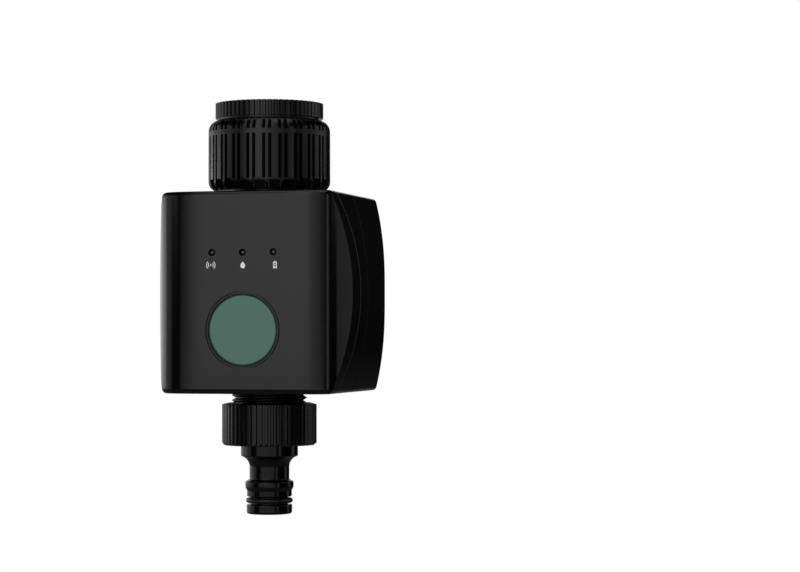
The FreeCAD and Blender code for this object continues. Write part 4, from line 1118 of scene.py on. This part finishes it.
class TIMER_OT_stage(bpy.types.Operator):
    """Camera, pale floor, soft boxes and white surroundings"""
    bl_idname = "timer.stage"
    bl_label = "Stage"

    def execute(self, context):
        settings = context.scene.timer_stage
        a = settings.azimuth
        place = Vector((math.sin(a) * settings.distance, -math.cos(a) * settings.distance, settings.eye_z))
        bpy.ops.object.camera_add(location=place)
        camera = bpy.context.active_object
        camera.name = "camera"
        camera.data.lens = settings.lens
        camera.data.sensor_width = 36.0
        camera.data.dof.use_dof = False
        aim = Vector((-math.sin(a), math.cos(a), 0.0))
        right = Vector((math.cos(a), math.sin(a), 0.0))
        aim = aim * math.cos(settings.turn) + right * math.sin(settings.turn)
        aim = aim * math.cos(settings.tilt) + Vector(UPRIGHT) * math.sin(settings.tilt)
        roll = Quaternion(UPRIGHT, settings.roll)
        camera.rotation_euler = (aim.to_track_quat("-Z", "Y") @ roll).to_euler()
        context.scene.camera = camera
        self.make_floor(settings.floor_z)
        self.make_world(context.scene)
        for name, values in PANELS.items():
            soft_panel(name, *values)
        area_light("top_box", TOP_BOX_PLACE, TOP_BOX_AIM, TOP_BOX_SIDE, TOP_BOX_SIDE, TOP_BOX_RADIANCE)
        context.scene.view_settings.view_transform = "Standard"
        return {"FINISHED"}

    def make_floor(self, height):
        """A pale floor well below the hanging timer, white to the camera."""
        bpy.ops.mesh.primitive_plane_add(size=8.0, location=(0.0, 0.0, height))
        floor = settle(bpy.context.active_object, "pale_floor")
        material = bpy.data.materials.new("pale_floor")
        material.use_nodes = True
        tree = material.node_tree
        shader = tree.nodes["Principled BSDF"]
        shader.inputs["Base Color"].default_value = (0.25, 0.25, 0.25, 1.0)
        shader.inputs["Roughness"].default_value = 0.7
        glow = tree.nodes.new("ShaderNodeEmission")
        glow.inputs["Color"].default_value = WHITE
        link(tree, switch_for_camera(tree, shader, glow), tree.nodes["Material Output"].inputs["Surface"])
        floor.data.materials.append(material)

    def make_world(self, scene):
        """White behind the timer, dim all round it."""
        world = bpy.data.worlds.new("studio")
        scene.world = world
        world.use_nodes = True
        tree = world.node_tree
        tree.nodes.clear()
        dim = tree.nodes.new("ShaderNodeBackground")
        dim.inputs["Color"].default_value = (0.008, 0.008, 0.008, 1.0)
        white = tree.nodes.new("ShaderNodeBackground")
        white.inputs["Color"].default_value = WHITE
        out = tree.nodes.new("ShaderNodeOutputWorld")
        link(tree, switch_for_camera(tree, dim, white), out.inputs["Surface"])


STEPS = (TIMER_OT_housing, TIMER_OT_back, TIMER_OT_nuts, TIMER_OT_adapter, TIMER_OT_outlet, TIMER_OT_button,
         TIMER_OT_lights, TIMER_OT_icons, TIMER_OT_inside, TIMER_OT_stage)


class TIMER_PT_sidebar(bpy.types.Panel):
    """Lists the steps that finish the timer"""
    bl_idname = "TIMER_PT_sidebar"
    bl_label = "Irrigation timer"
    bl_space_type = "VIEW_3D"
    bl_region_type = "UI"
    bl_category = "Timer"

    def draw(self, context):
        for step in STEPS:
            self.layout.operator(step.bl_idname)


SETTINGS = (TimerSizes, TimerColours, TimerStage)


def register():
    for item in (*SETTINGS, *STEPS, TIMER_PT_sidebar):
        bpy.utils.register_class(item)
    bpy.types.Scene.timer_sizes = PointerProperty(type=TimerSizes)
    bpy.types.Scene.timer_colours = PointerProperty(type=TimerColours)
    bpy.types.Scene.timer_stage = PointerProperty(type=TimerStage)


def unregister():
    del bpy.types.Scene.timer_stage
    del bpy.types.Scene.timer_colours
    del bpy.types.Scene.timer_sizes
    for item in reversed((*SETTINGS, *STEPS, TIMER_PT_sidebar)):
        bpy.utils.unregister_class(item)


def main():
    """Makes every piece and the stage."""
    register()
    bpy.ops.timer.housing()
    bpy.ops.timer.back()
    bpy.ops.timer.nuts()
    bpy.ops.timer.adapter()
    bpy.ops.timer.outlet()
    bpy.ops.timer.button()
    bpy.ops.timer.lights()
    bpy.ops.timer.icons()
    bpy.ops.timer.inside()
    bpy.ops.timer.stage()
    clear_selection()


if __name__ == "__main__":
    main()
